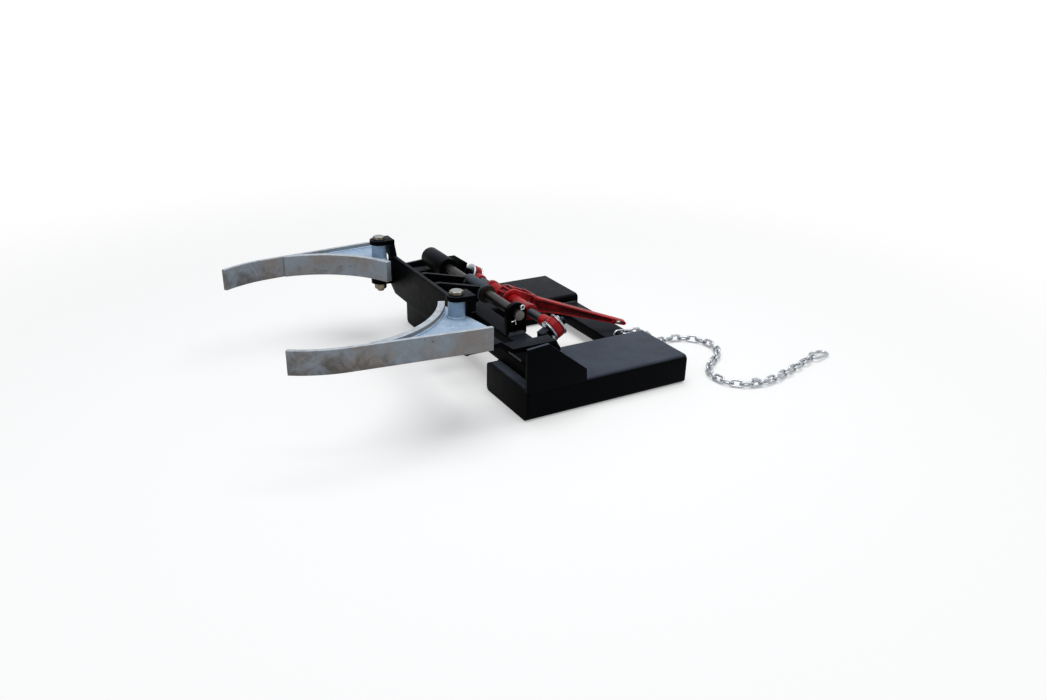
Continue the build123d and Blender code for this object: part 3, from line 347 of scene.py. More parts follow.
# Red enamel on a sand casting: deep red, half gloss, grainy skin, darker in patches, grime and painted shade
# in the hollows
enamel = {
    "red": "#a6141b",
    "deep": "#700c11",
    "patch": 35.0,
    "patched": {"From Min": 0.34, "From Max": 0.62},
    "grime": "#240809",
    "hollow": 22.0,
    "blotch": 0.3,
    "grimed": {"From Min": 1.12, "From Max": 0.92, "To Max": 0.85},
    "grain": 4.0,
    "grainDepth": 0.7,
    "grainStrength": 0.2,
    "roughness": {"To Min": 0.28, "To Max": 0.42},
    "specular": 0.13,
}
redEnamel, tree, shader, place = startMaterial("redEnamel")
patch = addNode(tree, "ShaderNodeTexNoise", {},
                {"Vector": place, "Scale": 1 / (enamel["patch"] * mm), "Detail": 5.0, "Roughness": 0.6})
patched = addNode(tree, "ShaderNodeMapRange", {}, {"Value": patch.outputs["Fac"], **enamel["patched"]})
colour = addNode(tree, "ShaderNodeMix", {"data_type": "RGBA"},
                 {share: patched.outputs[0], first: linear(enamel["deep"]), second: linear(enamel["red"])})
# Grime with painted shade: ambient occlusion darkens the hollows, blotched by the patch noise
hollow = addNode(tree, "ShaderNodeAmbientOcclusion", {"only_local": True, "samples": 12},
                 {"Distance": enamel["hollow"] * mm})
blotch = addNode(tree, "ShaderNodeMath", {"operation": "MULTIPLY_ADD"},
                 {0: patch.outputs["Fac"], 1: enamel["blotch"], 2: hollow.outputs["AO"]})
grimed = addNode(tree, "ShaderNodeMapRange", {}, {"Value": blotch.outputs[0], **enamel["grimed"]})
colour = addNode(tree, "ShaderNodeMix", {"data_type": "RGBA"},
                 {share: grimed.outputs[0], first: colour.outputs[mixed], second: linear(enamel["grime"])})
tree.links.new(colour.outputs[mixed], shader.inputs["Base Color"])
grain = addNode(tree, "ShaderNodeTexNoise", {},
                {"Vector": place, "Scale": 1 / (enamel["grain"] * mm), "Detail": 3.0})
bump = addNode(tree, "ShaderNodeBump", {},
               {"Height": grain.outputs["Fac"], "Strength": enamel["grainStrength"],
                "Distance": enamel["grainDepth"] * mm})
tree.links.new(bump.outputs[0], shader.inputs["Normal"])
rough = addNode(tree, "ShaderNodeMapRange", {},
                {"Value": patch.outputs["Fac"], **noiseSpan, **enamel["roughness"]})
tree.links.new(rough.outputs[0], shader.inputs["Roughness"])
shader.inputs["Specular IOR Level"].default_value = enamel["specular"]

# Bright zinc plate on wire and washers: silvery, a little cloudy
plating = {
    "bright": "#c9cdd2",
    "cloudy": "#8f959b",
    "cloud": 9.0,
    "roughness": {"To Min": 0.2, "To Max": 0.36},
}
brightZinc, tree, shader, place = startMaterial("brightZinc")
cloud = addNode(tree, "ShaderNodeTexNoise", {},
                {"Vector": place, "Scale": 1 / (plating["cloud"] * mm), "Detail": 4.0})
colour = addNode(tree, "ShaderNodeMix", {"data_type": "RGBA"},
                 {share: cloud.outputs["Fac"], first: linear(plating["cloudy"]),
                  second: linear(plating["bright"])})
tree.links.new(colour.outputs[mixed], shader.inputs["Base Color"])
rough = addNode(tree, "ShaderNodeMapRange", {},
                {"Value": cloud.outputs["Fac"], **noiseSpan, **plating["roughness"]})
tree.links.new(rough.outputs[0], shader.inputs["Roughness"])
shader.inputs["Metallic"].default_value = 1.0

# Oiled bare steel bar, turned: brown grey with fine rings, cut ends lighter
barSteel = {
    "base": "#464545",
    "stain": "#2a2929",
    "stainSize": 30.0,
    "cutEnd": "#6e6c6a",
    "cutFrom": 0.9,
    "ring": 2.4,
    "ringAcross": 125.0,
    "ringDepth": 0.4,
    "ringStrength": 0.12,
    "roughness": {"To Min": 0.32, "To Max": 0.46},
}
oiledSteel, tree, shader, place = startMaterial("oiledSteel")
stain = addNode(tree, "ShaderNodeTexNoise", {},
                {"Vector": place, "Scale": 1 / (barSteel["stainSize"] * mm), "Detail": 5.0, "Roughness": 0.6})
colour = addNode(tree, "ShaderNodeMix", {"data_type": "RGBA"},
                 {share: stain.outputs["Fac"], first: linear(barSteel["stain"]),
                  second: linear(barSteel["base"])})
normal = addNode(tree, "ShaderNodeTexCoord", {}, {}).outputs["Normal"]
facing = addNode(tree, "ShaderNodeSeparateXYZ", {}, {0: normal})
endOn = addNode(tree, "ShaderNodeMath", {"operation": "ABSOLUTE"}, {0: facing.outputs["Y"]})
endOn = addNode(tree, "ShaderNodeMath", {"operation": "GREATER_THAN"},
                {0: endOn.outputs[0], 1: barSteel["cutFrom"]})
colour = addNode(tree, "ShaderNodeMix", {"data_type": "RGBA"},
                 {share: endOn.outputs[0], first: colour.outputs[mixed], second: linear(barSteel["cutEnd"])})
tree.links.new(colour.outputs[mixed], shader.inputs["Base Color"])
across, alongBar = 1 / (barSteel["ringAcross"] * mm), 1 / (barSteel["ring"] * mm)
squeezed = addNode(tree, "ShaderNodeMapping", {}, {"Vector": place, "Scale": (across, alongBar, across)})
ring = addNode(tree, "ShaderNodeTexNoise", {}, {"Vector": squeezed.outputs[0], "Scale": 1.0, "Detail": 2.0})
bump = addNode(tree, "ShaderNodeBump", {},
               {"Height": ring.outputs["Fac"], "Strength": barSteel["ringStrength"],
                "Distance": barSteel["ringDepth"] * mm})
tree.links.new(bump.outputs[0], shader.inputs["Normal"])
rough = addNode(tree, "ShaderNodeMapRange", {},
                {"Value": ring.outputs["Fac"], **noiseSpan, **barSteel["roughness"]})
tree.links.new(rough.outputs[0], shader.inputs["Roughness"])
shader.inputs["Metallic"].default_value = 1.0

# Rolled thread, blackened and oiled: blue grey, dark, half gloss
blackening = {"base": "#4a4e55", "dark": "#2b2d31", "stainSize": 12.0, "metallic": 0.7, "roughness": 0.4}
blackenedThread, tree, shader, place = startMaterial("blackenedThread")
stain = addNode(tree, "ShaderNodeTexNoise", {},
                {"Vector": place, "Scale": 1 / (blackening["stainSize"] * mm),
                 "Detail": 5.0, "Roughness": 0.6})
colour = addNode(tree, "ShaderNodeMix", {"data_type": "RGBA"},
                 {share: stain.outputs["Fac"], first: linear(blackening["dark"]),
                  second: linear(blackening["base"])})
tree.links.new(colour.outputs[mixed], shader.inputs["Base Color"])
shader.inputs["Metallic"].default_value = blackening["metallic"]
shader.inputs["Roughness"].default_value = blackening["roughness"]

# Oil-soaked sintered bronze bush: nearly black brown, faint pores
bush = {"base": "#3d342a", "dark": "#1f1a15", "pore": 2.0, "metallic": 0.8, "roughness": 0.45}
sinteredBronze, tree, shader, place = startMaterial("sinteredBronze")
pore = addNode(tree, "ShaderNodeTexNoise", {},
               {"Vector": place, "Scale": 1 / (bush["pore"] * mm), "Detail": 3.0})
colour = addNode(tree, "ShaderNodeMix", {"data_type": "RGBA"},
                 {share: pore.outputs["Fac"], first: linear(bush["dark"]), second: linear(bush["base"])})
tree.links.new(colour.outputs[mixed], shader.inputs["Base Color"])
shader.inputs["Metallic"].default_value = bush["metallic"]
shader.inputs["Roughness"].default_value = bush["roughness"]

# Yellow zinc plate on bolts: dull straw, greyer on the faces that look up
passivate = {
    "straw": "#877d6a",
    "bloom": "#605a4e",
    "cloud": 8.0,
    "clouded": {"From Min": 0.35, "From Max": 0.65},
    "worn": "#8f9394",
    "facingUp": {"From Min": 0.55, "From Max": 0.9, "To Max": 0.9},
    "metallic": 0.85,
    "roughness": 0.38,
}
yellowZinc, tree, shader, place = startMaterial("yellowZinc")
cloud = addNode(tree, "ShaderNodeTexNoise", {},
                {"Vector": place, "Scale": 1 / (passivate["cloud"] * mm), "Detail": 4.0})
clouded = addNode(tree, "ShaderNodeMapRange", {}, {"Value": cloud.outputs["Fac"], **passivate["clouded"]})
colour = addNode(tree, "ShaderNodeMix", {"data_type": "RGBA"},
                 {share: clouded.outputs[0], first: linear(passivate["bloom"]),
                  second: linear(passivate["straw"])})
normal = addNode(tree, "ShaderNodeTexCoord", {}, {}).outputs["Normal"]
facing = addNode(tree, "ShaderNodeSeparateXYZ", {}, {0: normal})
topGreyShare = addNode(tree, "ShaderNodeMapRange", {}, {"Value": facing.outputs["Z"], **passivate["facingUp"]})
colour = addNode(tree, "ShaderNodeMix", {"data_type": "RGBA"},
                 {share: topGreyShare.outputs[0], first: colour.outputs[mixed], second: linear(passivate["worn"])})
tree.links.new(colour.outputs[mixed], shader.inputs["Base Color"])
shader.inputs["Metallic"].default_value = passivate["metallic"]
shader.inputs["Roughness"].default_value = passivate["roughness"]

finishes = {
    "black_paint": coats["powderCoat"],
    "galvanised_steel": zincs["galvanisedPlate"],
    "red_enamel": redEnamel,
    "bright_zinc": brightZinc,
    "dark_steel": oiledSteel,
    "bronze": sinteredBronze,
    "yellow_zinc": yellowZinc,
}
slotOf = {entry["node"]: entry["material_slot"] for entry in frame["record"]["subparts"]}
bodyOf = {node: body for body, members in frame["record"]["behaviour"]["bodies"].items() for node in members}
finishOf = {node: finishes[slotName] for node, slotName in slotOf.items()}
for side, word in sides:
    for piece in ("jaw_bar", "jaw_shoe"):
        finishOf[f"{word}_{piece}"] = zincs["galvanisedBar"]
    # The gussets and studs take the coat with the most painted sheen on their tops
    for piece in ("side_gusset", "anchor_stud"):
        finishOf[f"{word}_{piece}"] = coats["dustyPowderCoat"]
    finishOf[word + "_screw_rod"] = blackenedThread
# Painted sheen on the tops of the near pocket and sleeve, painted shade on the far pocket's top
finishOf["near_fork_pocket"] = finishOf["hinge_sleeve"] = coats["dustyPowderCoat"]
finishOf["far_fork_pocket"] = coats["cleanPowderCoat"]
for name, finish in finishOf.items():
    mesh = nodes[name].data
    mesh.materials.clear()
    mesh.materials.append(finish)
print("finishes given to", len(nodes), "pieces")


def camelName(node):
    words = node.split("_")
    return words[0] + "".join(word.capitalize() for word in words[1:])


def boxInMm(node):
    return [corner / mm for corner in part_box(node)]


def addPiece(name, points, faces, body, smoothUpTo, finish):
    mesh = bpy.data.meshes.new(name)
    mesh.from_pydata(points, [], faces)
    mesh.validate()
    shell = bmesh.new()
    shell.from_mesh(mesh)
    bmesh.ops.recalc_face_normals(shell, faces=shell.faces)  # each closed shell faces outward
    shell.to_mesh(mesh)
    shell.free()
    mesh.polygons.foreach_set("use_smooth", [True] * len(mesh.polygons))
    mesh.set_sharp_from_angle(angle=math.radians(smoothUpTo))
    mesh.materials.append(finish)
    piece = bpy.data.objects.new(name, mesh)
    scene.collection.objects.link(piece)
    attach(piece, body)
    return piece


def standIn(node, points, faces, smoothUpTo):
    piece = addPiece(camelName(node), points, faces, bodyOf[node], smoothUpTo, finishOf[node])
    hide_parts(node)


# Skins rows of points that go round, and caps the ends unless the rows close on themselves
def joinRows(faces, rows, closed=False):
    for a, b in zip(rows, rows[1:] + rows[:1] if closed else rows[1:]):
        for k in range(len(a)):
            n = (k + 1) % len(a)
            faces.append((a[k], a[n], b[n], b[k]))
    if not closed:
        faces.append(tuple(reversed(rows[0])))
        faces.append(tuple(rows[-1]))


# Cut plates, tubes and turned pieces with their edges eased: radii in mm, angles in degrees
easing = {
    "pairs": {
        "side_gusset": 1.0, "pocket_cap": 1.0, "fork_pocket": 0.8, "head_arm": 1.0, "pivot_lugs": 1.0,
        "shaft_ear": 1.0, "tail_lever": 1.2, "jaw_bar": 1.4, "jaw_shoe": 1.2, "jaw_upper_web": 0.8,
        "jaw_lower_web": 0.8, "jaw_boss": 0.8, "anchor_stud": 0.8,
    },
    "singles": {
        "lower_cross_beam": 0.8, "upper_cross_beam": 0.8, "rear_cross_tube": 0.8, "head_front_plate": 1.0,
        "hinge_sleeve": 0.8, "ratchet_gear": 0.8, "ratchet_barrel": 0.8, "ratchet_pawl": 0.6,
        "pivot_washers": 0.4,
    },
    "joinWithin": 0.002, "flatUpTo": 0.4, "sharpFrom": 35, "segments": 2, "profile": 0.6, "smoothUpTo": 28,
}
edgeRadius = {f"{word}_{piece}": radius for piece, radius in easing["pairs"].items() for side, word in sides}
edgeRadius.update(easing["singles"])
for name, radius in edgeRadius.items():
    solid = bmesh.new()
    solid.from_mesh(nodes[name].data)
    bmesh.ops.remove_doubles(solid, verts=solid.verts, dist=easing["joinWithin"] * mm)
    bmesh.ops.dissolve_limit(solid, angle_limit=math.radians(easing["flatUpTo"]),
                             verts=solid.verts, edges=solid.edges)
    sharp = [e for e in solid.edges
             if len(e.link_faces) == 2 and e.calc_face_angle() > math.radians(easing["sharpFrom"])]
    bmesh.ops.bevel(solid, geom=sharp, offset=radius * mm, segments=easing["segments"],
                    profile=easing["profile"], affect="EDGES", clamp_overlap=True)
    points = [v.co.copy() for v in solid.verts]
    solid.verts.index_update()
    faces = [[v.index for v in f.verts] for f in solid.faces]
    solid.free()
    standIn(name, points, faces, easing["smoothUpTo"])
print("edges eased on", len(edgeRadius), "pieces")

# Sand castings: no sharp edge anywhere, corners filled; for each its voxel in mm and rounds of smoothing
castings = {
    "skins": {"ratchet_handle": (1.1, 10), "near_binder_eye": (0.9, 14), "far_binder_eye": (0.9, 14)},
    "smoothing": 0.5, "smoothUpTo": 80,
}
for name, (voxel, rounds) in castings["skins"].items():
    rough = bpy.data.objects.new(camelName(name) + "Rough", nodes[name].data.copy())
    scene.collection.objects.link(rough)
    remesh = rough.modifiers.new("skin", "REMESH")
    remesh.mode, remesh.voxel_size = "VOXEL", voxel * mm
    smooth = rough.modifiers.new("smooth", "SMOOTH")
    smooth.factor, smooth.iterations = castings["smoothing"], rounds
    skin = bpy.data.meshes.new_from_object(rough.evaluated_get(bpy.context.evaluated_depsgraph_get()))
    points = [v.co.copy() for v in skin.vertices]
    faces = [list(f.vertices) for f in skin.polygons]
    bpy.data.objects.remove(rough)
    standIn(name, points, faces, castings["smoothUpTo"])
    print("cast", name, len(faces), "faces")


# Weld beads: legs in mm, then the ones that go round, as start and sweep in degrees and steps
weld = {
    "plate": 4.5, "beam": 5.0, "ear": 8.0, "tube": 4.0, "seam": 3.6, "arm": 4.5, "sleeve": 4.0, "lug": 4.0,
    "boss": 4.0, "shoe": 3.5, "corner": 7.0, "staple": 2.6, "stud": 3.2,
    "rings": {
        "sleeve": (121.0, 92.0, 24), "staple": (0.0, 360.0, 24), "boss": (38.0, 274.0, 48),
        "shoe": (33.0, 41.0, 40),
    },
}
# A bead's own shape: rows along it, strips across it, its ends, crown, ripples and uneven width
bead = {
    "step": 0.85, "leastSteps": 6, "strips": 6, "sink": 0.5, "bed": 0.15, "endSize": 0.35, "crown": 0.24,
    "ripple": 2.6, "rippleBow": 0.55, "rippleHeight": 0.045, "rippleWidth": 0.02,
    "sway": ((0.07, 0.61, 0.0), (0.05, 0.23, 1.3)), "smoothUpTo": 70,
}


# A run is a path of spots, each with the two faces that the bead lies between there
def layBeads(name, runs, body, finish):
    points, faces = [], []
    for run in runs:
        path, leg = run["path"], run["leg"] * mm
        lengths = [0.0]
        for a, b in zip(path, path[1:]):
            lengths.append(lengths[-1] + (b[0] - a[0]).length)
        whole = lengths[-1]
        count = max(bead["leastSteps"], int(whole / (bead["step"] * mm)))
        rows = []
        part = 0
        for i in range(count + 1):
            s = whole * i / count
            while part < len(path) - 2 and lengths[part + 1] < s:
                part += 1
            t = (s - lengths[part]) / max(1e-9, lengths[part + 1] - lengths[part])
            spot, sideA, sideB = (path[part][k].lerp(path[part + 1][k], t) for k in range(3))
            out = sideA + sideB
            out = run["out"] if out.length < 0.2 else out.normalized()  # two opposite sides give no way out
            nearEnd = min(1.0, min(s, whole - s) / leg)
            size = leg * min(1.0, bead["endSize"] + (1 - bead["endSize"]) * math.sin(nearEnd * math.pi / 2))
            size *= 1 + sum(swell * math.sin(s / mm * rate + start) for swell, rate, start in bead["sway"])
            row = [spot - out * bead["sink"] * mm]
            for k in range(bead["strips"] + 1):
                u = k / bead["strips"]
                lag = bead["rippleBow"] * (2 * u - 1) ** 2
                wave = math.sin((s / mm / bead["ripple"] - lag) * 2 * math.pi)
                width = size * (1 + bead["rippleWidth"] * wave)
                height = (bead["crown"] + bead["rippleHeight"] * wave) * size * 4 * u * (1 - u)
                row.append(spot + (sideA * (1 - u) + sideB * u) * width + out * (height - bead["bed"] * mm))
            rows.append([len(points) + k for k in range(len(row))])
            points.extend(row)
        joinRows(faces, rows)
    addPiece(name, points, faces, body, bead["smoothUpTo"], finish)


def straight(kind, start, end, sideA, sideB, out=None):
    sideA, sideB = Vector(sideA), Vector(sideB)
    path = [(Vector(point) * mm, sideA, sideB) for point in (start, end)]
    return {"path": path, "leg": weld[kind], "out": Vector(out) if out else None}


def ringRun(kind, centre, radius, across, upright, face):
    start, sweep, steps = weld["rings"][kind]
    path = []
    for i in range(steps + 1):
        turnBy = math.radians(start + sweep * i / steps)
        radial = Vector(across) * math.cos(turnBy) + Vector(upright) * math.sin(turnBy)
        path.append(((Vector(centre) + radial * radius) * mm, radial, Vector(face)))
    return {"path": path, "leg": weld[kind], "out": None}


# Where the beads on the frame and head lie, in mm: how far they stop short of their joint's ends, how far
# they lie inside a rounded corner, and the faces that the boxes of the pieces don't give
seams = {
    "gussetEnds": (2.0, 3.0), "beamGap": 1.0, "footSink": 1.0, "postEnds": (3.0, 4.0), "topEnds": (3.0, 6.0),
    "beamInset": 1.5, "beamEnd": 4.0, "pocketCorner": 9.0, "tubeEnd": 3.0, "tubeTop": 2.0, "earEnd": 4.0,
    "armEnds": (4.0, 3.0), "stitch": 62.0, "stitchGap": 58.0, "stitchEnd": 14.0, "stitchInset": 1.2,
    "earFaces": {"near": (188.0, 200.0), "far": (172.0, 200.0)},
    "lugThickness": 11.5, "upperLug": (212.0, 254.0), "lowerLug": (210.0, 233.0),
}
up, down, ahead, back = (0, 0, 1), (0, 0, -1), (-1, 0, 0), (1, 0, 0)
beam, lowBeam = boxInMm("upper_cross_beam"), boxInMm("lower_cross_beam")
tube, plate = boxInMm("rear_cross_tube"), boxInMm("head_front_plate")
beamFront, beamBack, beamTop = beam[0].x, beam[1].x, beam[1].z
pocketTop, seam = lowBeam[0].z, lowBeam[1].z
plateFront, plateBack = plate[0].x, plate[1].x
sleeveLow, sleeveHigh = boxInMm("hinge_sleeve")
sleeveMiddle, sleeveRadius = (sleeveLow + sleeveHigh) / 2, (sleeveHigh.z - sleeveLow.z) / 2
frameRuns, headRuns = [], []
for side, word in sides:
    inward, outward = (0, -side, 0), (0, side, 0)
    gusset, pocket, arm, lugs = (boxInMm(f"{word}_{piece}")
                                 for piece in ("side_gusset", "fork_pocket", "head_arm", "pivot_lugs"))
    gussetY = side * min(abs(gusset[0].y), abs(gusset[1].y))
    pocketY = side * min(abs(pocket[0].y), abs(pocket[1].y))
    foot = pocketTop - seams["footSink"]
    frontEnd, backStart = beamFront - seams["beamGap"], beamBack + seams["beamGap"]
    gussetStart, gussetEnd = gusset[0].x + seams["gussetEnds"][0], gusset[1].x - seams["gussetEnds"][1]
    postLow, postHigh = pocketTop + seams["postEnds"][0], beamTop - seams["postEnds"][1]
    topStart, topEnd = beamFront + seams["topEnds"][0], beamBack - seams["topEnds"][1]
    tubeStart, tubeEnd = tube[0].x + seams["tubeEnd"], tube[1].x - seams["tubeEnd"]
    tubeLow, tubeHigh, tubeTop = tube[0].z + seams["tubeEnd"], tube[1].z - seams["tubeTop"], tube[1].z
    frameRuns += [
        straight("plate", (gussetStart, gussetY, foot), (frontEnd, gussetY, foot), inward, up),
        straight("plate", (backStart, gussetY, foot), (gussetEnd, gussetY, foot), inward, up),
        straight("plate", (beamFront, gussetY, postLow), (beamFront, gussetY, postHigh), ahead, inward),
        straight("plate", (beamBack, gussetY, postLow), (beamBack, gussetY, postHigh), back, inward),
        straight("plate", (topStart, gussetY, beamTop), (topEnd, gussetY, beamTop), inward, up),
    ]
    beamStart, beamEnd = pocketY + side * seams["pocketCorner"], gussetY - side * seams["beamEnd"]
    for x, away in ((beamFront + seams["beamInset"], ahead), (beamBack - seams["beamInset"], back)):
        frameRuns.append(straight("beam", (x, beamStart, pocketTop), (x, beamEnd, pocketTop), away, up))
    frameRuns.append(straight("tube", (tubeStart, pocketY, tubeTop), (tubeEnd, pocketY, tubeTop), inward, up))
    for x, away in ((tube[0].x, ahead), (tube[1].x, back)):
        frameRuns.append(straight("tube", (x, pocketY, tubeLow), (x, pocketY, tubeHigh), away, inward))
    earStart, earEnd = beamFront + seams["earEnd"], beamBack - seams["earEnd"]
    for face, away in zip(seams["earFaces"][word], (inward, outward)):
        y = side * face
        frameRuns.append(straight("ear", (earStart, y, beamTop), (earEnd, y, beamTop), away, up))
    armLow, armHigh = plate[0].z + seams["armEnds"][0], arm[1].z - seams["armEnds"][1]
    for face, away in zip(sorted((abs(arm[0].y), abs(arm[1].y))), (inward, outward)):
        y = side * face
        headRuns.append(straight("arm", (plateBack, y, armLow), (plateBack, y, armHigh), back, away))
        headRuns.append(ringRun("sleeve", (sleeveMiddle.x, y, sleeveMiddle.z), sleeveRadius, back, up, away))
    upperBottom, lowerTop = lugs[1].z - seams["lugThickness"], lugs[0].z + seams["lugThickness"]
    lugEdges = ((upperBottom, "upperLug", down), (lowerTop, "lowerLug", up), (lugs[0].z, "lowerLug", down))
    for z, lug, face in lugEdges:
        hornIn, hornOut = (side * y for y in seams[lug])
        headRuns.append(straight("lug", (plateFront, hornIn, z), (plateFront, hornOut, z), ahead, face))
reachY = lowBeam[1].y - seams["stitchEnd"]
step = seams["stitch"] + seams["stitchGap"]
stitches = int(2 * reachY / step)
spare = 2 * reachY - stitches * step + seams["stitchGap"]
for i in range(stitches):
    start = -reachY + spare / 2 + i * step
    end = start + seams["stitch"]
    for x, out in ((beamFront + seams["stitchInset"], ahead), (beamBack - seams["stitchInset"], back)):
        frameRuns.append(straight("seam", (x, start, seam), (x, end, seam), up, down, out))
stapleLow, stapleHigh = boxInMm("chain_staple")
stapleX, wireRadius = (stapleLow.x + stapleHigh.x) / 2, (stapleHigh.x - stapleLow.x) / 2
for y in (stapleLow.y + wireRadius, stapleHigh.y - wireRadius):
    frameRuns.append(ringRun("staple", (stapleX, y, stapleLow.z), wireRadius, back, (0, 1, 0), up))
layBeads("frameWelds", frameRuns, "frame", weldCoat)
layBeads("headWelds", headRuns, "head", weldCoat)

# The binder's ends: where the eyes sit on their studs, in mm, and how the studs lean, in degrees
binder = {"x": 172.0, "y": 216.0, "z": 159.0, "lean": 30.0}
sideways = Vector((0, 1, 0))


def studFrame(side):
    lean = -side * math.radians(binder["lean"])
    middle = Vector((binder["x"], side * binder["y"], binder["z"]))
    axis, across = Vector((math.cos(lean), 0, math.sin(lean))), Vector((-math.sin(lean), 0, math.cos(lean)))
    return middle, axis, across


# Where the beads on the jaws lie, in mm and degrees: the shoe's arc, the straight of the bar, the stud's foot
jaw = {
    "arcX": -338.4, "arcY": 53.8, "shoeRadius": 273.0, "barRadius": 257.0, "bendAngle": 96.2,
    "barFrom": -266.0, "barTo": -66.0, "cornerEnds": (1.0, 2.0),
    "studBase": 39.6, "studHalf": 12.5, "studEnd": 1.0,
}
bend = math.radians(jaw["bendAngle"])
slope = -math.cos(bend) / math.sin(bend)
slant = math.hypot(1, slope)
meet = bend - math.acos(jaw["barRadius"] / jaw["shoeRadius"])  # where the shoe's back reaches the bar
for side, word in sides:
    boss, web, bar = (boxInMm(f"{word}_{piece}") for piece in ("jaw_boss", "jaw_upper_web", "jaw_bar"))
    bossMiddle, bossRadius, webTop = (boss[0] + boss[1]) / 2, (boss[1].x - boss[0].x) / 2, web[1].z
    outward = (0, side, 0)
    arcMiddle = (jaw["arcX"], side * jaw["arcY"], webTop)
    bendX = jaw["arcX"] + jaw["barRadius"] * math.cos(bend)
    bendY = jaw["arcY"] + jaw["barRadius"] * math.sin(bend)
    barStart, barEnd = ((x, side * (bendY + (x - bendX) * slope), webTop)
                        for x in (jaw["barFrom"], jaw["barTo"]))
    alongBar = (1 / slant, side * slope / slant, 0)
    offBar = (slope / slant, -side / slant, 0)
    alongShoe = (math.sin(meet), -side * math.cos(meet), 0)
    meetX = jaw["arcX"] + jaw["shoeRadius"] * math.cos(meet)
    meetY = side * (jaw["arcY"] + jaw["shoeRadius"] * math.sin(meet))
    cornerLow, cornerHigh = webTop - jaw["cornerEnds"][0], bar[1].z - jaw["cornerEnds"][1]
    jawRuns = [
        ringRun("boss", (bossMiddle.x, bossMiddle.y, webTop), bossRadius, back, outward, up),
        ringRun("shoe", arcMiddle, jaw["shoeRadius"], back, outward, up),
        straight("shoe", barStart, barEnd, offBar, up),
        straight("corner", (meetX, meetY, cornerLow), (meetX, meetY, cornerHigh), alongShoe, alongBar, back),
    ]
    layBeads(word + "JawWelds", jawRuns, word + "_jaw", zincs["galvanisedPlate"])

    middle, axis, across = studFrame(side)
    foot = middle - axis * jaw["studBase"]
    studRuns = []
    for away, along in ((across, sideways), (-across, sideways), (sideways, across), (-sideways, across)):
        edge, half = foot + away * jaw["studHalf"], along * (jaw["studHalf"] - jaw["studEnd"])
        studRuns.append(straight("stud", edge - half, edge + half, away, axis))
    layBeads(word + "StudWelds", studRuns, word + "_jaw", weldCoat)
print("weld beads laid")


# Rolled threads, in mm; crest and flank are shares of half a pitch
thread = {
    "crest": 0.3, "flank": 0.4, "chamfer": 2.0, "chamferSlope": 0.7, "rowsPerTurn": 8,
    "rodPitch": 4.0, "rodDepth": 1.5, "rodAround": 44, "smoothUpTo": 60,
}


def threadRows(points, faces, place, low, high, radius, pitch, depth, hand, around, plain=None):
    count = int((high - low) / (pitch / thread["rowsPerTurn"]))
    rows = []
    for i in range(count + 1):
        s = low + (high - low) * i / count
        row = []
        for k in range(around):
            turnBy = 2 * math.pi * k / around
            phase = (s / pitch - hand * k / around) % 1.0
            cut = max(0.0, min(1.0, (abs(phase - 0.5) * 2 - thread["crest"]) / thread["flank"]))
            if plain and plain[0] < s < plain[1]:
                cut = 0.0
            fall = max(0.0, thread["chamfer"] - min(s - low, high - s)) * thread["chamferSlope"]
            r = min(radius - depth * cut, radius - fall)
            row.append(len(points))
            points.append(place(s * mm, r * mm * math.cos(turnBy), r * mm * math.sin(turnBy)))
        rows.append(row)
    joinRows(faces, rows)


# The binder's rods, one left handed and one right handed
for side, word in sides:
    low, high = boxInMm(word + "_screw_rod")
    middle, radius = (low + high) / 2, (high.x - low.x) / 2
    points, faces = [], []
    threadRows(points, faces, lambda s, a, b: Vector((middle.x * mm + b, s, middle.z * mm + a)),
               low.y, high.y, radius, thread["rodPitch"], thread["rodDepth"], side, thread["rodAround"])
    standIn(word + "_screw_rod", points, faces, thread["smoothUpTo"])

# Eye washers, pressed, in mm: rounded rims with a groove round the edge, as height and radius
eyeWasher = {
    "faces": (10.5, 16.0),
    "bore": 13.3,
    "rim": ((0.0, 26.0), (0.4, 27.3), (1.2, 28.0), (1.9, 27.9), (2.75, 26.9), (3.6, 27.9), (4.3, 28.0),
            (5.1, 27.3), (5.5, 26.0)),
    "around": 72,
    "smoothUpTo": 40,
}
innerFace, outerFace = eyeWasher["faces"]
profile = [(0.0, eyeWasher["bore"]), *eyeWasher["rim"], (outerFace - innerFace, eyeWasher["bore"])]
for side, word in sides:
    middle, axis, across = studFrame(side)
    points, faces = [], []
    for start in (-outerFace, innerFace):
        rows = []
        for height, radius in profile:
            rows.append([len(points) + k for k in range(eyeWasher["around"])])
            for k in range(eyeWasher["around"]):
                turnBy = 2 * math.pi * k / eyeWasher["around"]
                out = across * math.cos(turnBy) + sideways * math.sin(turnBy)
                points.append((middle + axis * (start + height) + out * radius) * mm)
        joinRows(faces, rows, True)
    standIn(word + "_eye_washers", points, faces, eyeWasher["smoothUpTo"])


# Hex bolts and nuts with chamfered corners, in mm; twists in degrees
bolts = {
    "pivotHead": 7.5, "pivotFlat": 13.5, "pivotRadius": 9.0, "pivotPitch": 2.5, "pivotTwist": 12.0,
    "pivotAround": 40,
    "tailPlaces": ((-100.0, 298.0), (-78.0, 272.0)), "tailFlat": 9.5, "tailRadius": 6.0, "tailPitch": 2.0,
    "tailTwist": 30.0, "tailHead": 8.0, "tailNut": 10.0, "tailEnd": 3.0, "tailAround": 36,
    "threadDepth": 1.2, "hexAround": 72, "chamferFlat": 0.94, "chamferSlope": 0.58, "smoothUpTo": 30,
}


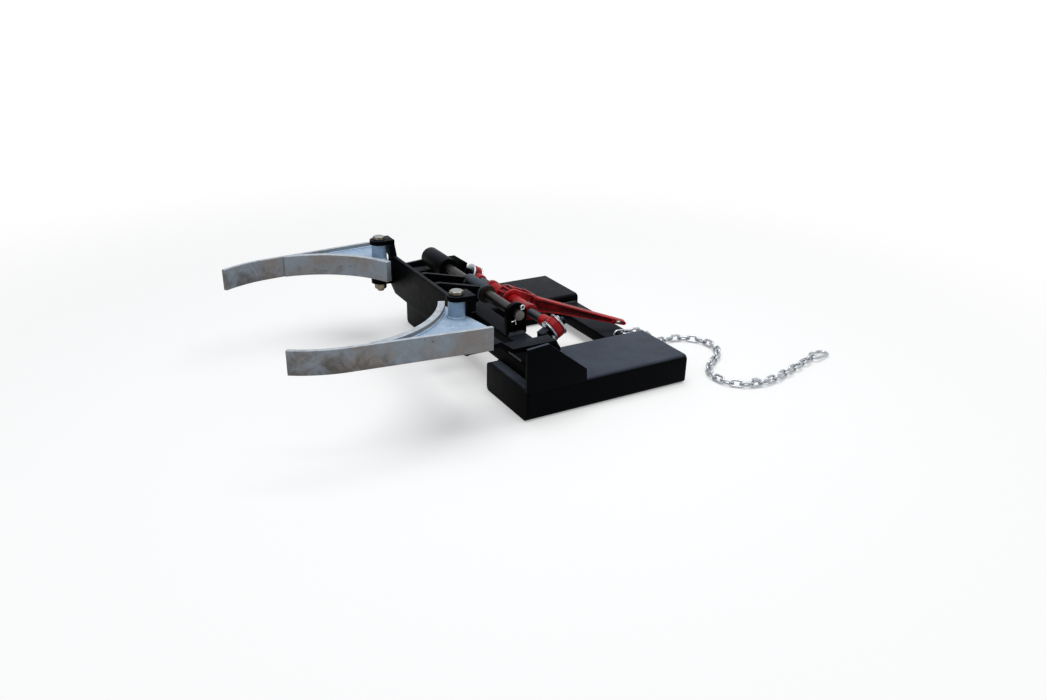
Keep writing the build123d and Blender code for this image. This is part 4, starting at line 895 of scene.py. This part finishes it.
def hexRows(points, faces, centre, low, high, flat, twist, chamferLow, chamferHigh):
    rows = []
    inner = flat * bolts["chamferFlat"]

    def ring(height, radiusOf):
        row = []
        for k in range(bolts["hexAround"]):
            turnBy = 2 * math.pi * k / bolts["hexAround"]
            r = radiusOf(turnBy)
            x, y = centre[0] + r * math.cos(turnBy + twist), centre[1] + r * math.sin(turnBy + twist)
            row.append(len(points))
            points.append(Vector((x, y, height(r))) * mm)
        rows.append(row)

    def hexRadius(turnBy):
        return flat / math.cos((turnBy + math.pi / 6) % (math.pi / 3) - math.pi / 6)

    def fall(r):
        return max(0, r - inner) * bolts["chamferSlope"]
    ring(lambda r: low, (lambda turnBy: inner) if chamferLow else hexRadius)
    if chamferLow:
        ring(lambda r: low + fall(r), hexRadius)
    if chamferHigh:
        ring(lambda r: high - fall(r), hexRadius)
    ring(lambda r: high, (lambda turnBy: inner) if chamferHigh else hexRadius)
    joinRows(faces, rows)


low, high = boxInMm("pivot_bolts")
nutLow, nutHigh = boxInMm("pivot_nuts")
boss = boxInMm("far_jaw_boss")
pivotX, pivotY = (boss[0].x + boss[1].x) / 2, (boss[0].y + boss[1].y) / 2
twist = math.radians(bolts["pivotTwist"])
headLow = high.z - bolts["pivotHead"]
boltPoints, boltFaces, nutPoints, nutFaces = [], [], [], []
for y in (-pivotY, pivotY):
    centre = (pivotX, y)
    hexRows(boltPoints, boltFaces, centre, headLow, high.z, bolts["pivotFlat"], twist, False, True)
    threadRows(boltPoints, boltFaces, lambda s, a, b: Vector((pivotX * mm + a, y * mm + b, s)),
               low.z, headLow, bolts["pivotRadius"], bolts["pivotPitch"], bolts["threadDepth"], 1,
               bolts["pivotAround"], (nutHigh.z, headLow))
    hexRows(nutPoints, nutFaces, centre, nutLow.z, nutHigh.z, bolts["pivotFlat"], twist, True, True)
standIn("pivot_bolts", boltPoints, boltFaces, bolts["smoothUpTo"])
standIn("pivot_nuts", nutPoints, nutFaces, bolts["smoothUpTo"])
twist = math.radians(bolts["tailTwist"])
for side, word in sides:
    low, high = boxInMm(word + "_tail_bolts")
    nutBottom, headBottom = low.z + bolts["tailEnd"], high.z - bolts["tailHead"]
    nutTop = nutBottom + bolts["tailNut"]
    points, faces = [], []
    for x, y in bolts["tailPlaces"]:
        centre = (x, side * y)
        hexRows(points, faces, centre, headBottom, high.z, bolts["tailFlat"], twist, False, True)
        hexRows(points, faces, centre, nutBottom, nutTop, bolts["tailFlat"], twist, True, True)
        threadRows(points, faces, lambda s, a, b: Vector((centre[0] * mm + a, centre[1] * mm + b, s)),
                   low.z, headBottom, bolts["tailRadius"], bolts["tailPitch"], bolts["threadDepth"], 1,
                   bolts["tailAround"], (nutTop, headBottom))
    standIn(word + "_tail_bolts", points, faces, bolts["smoothUpTo"])
print("threads and bolts cut")
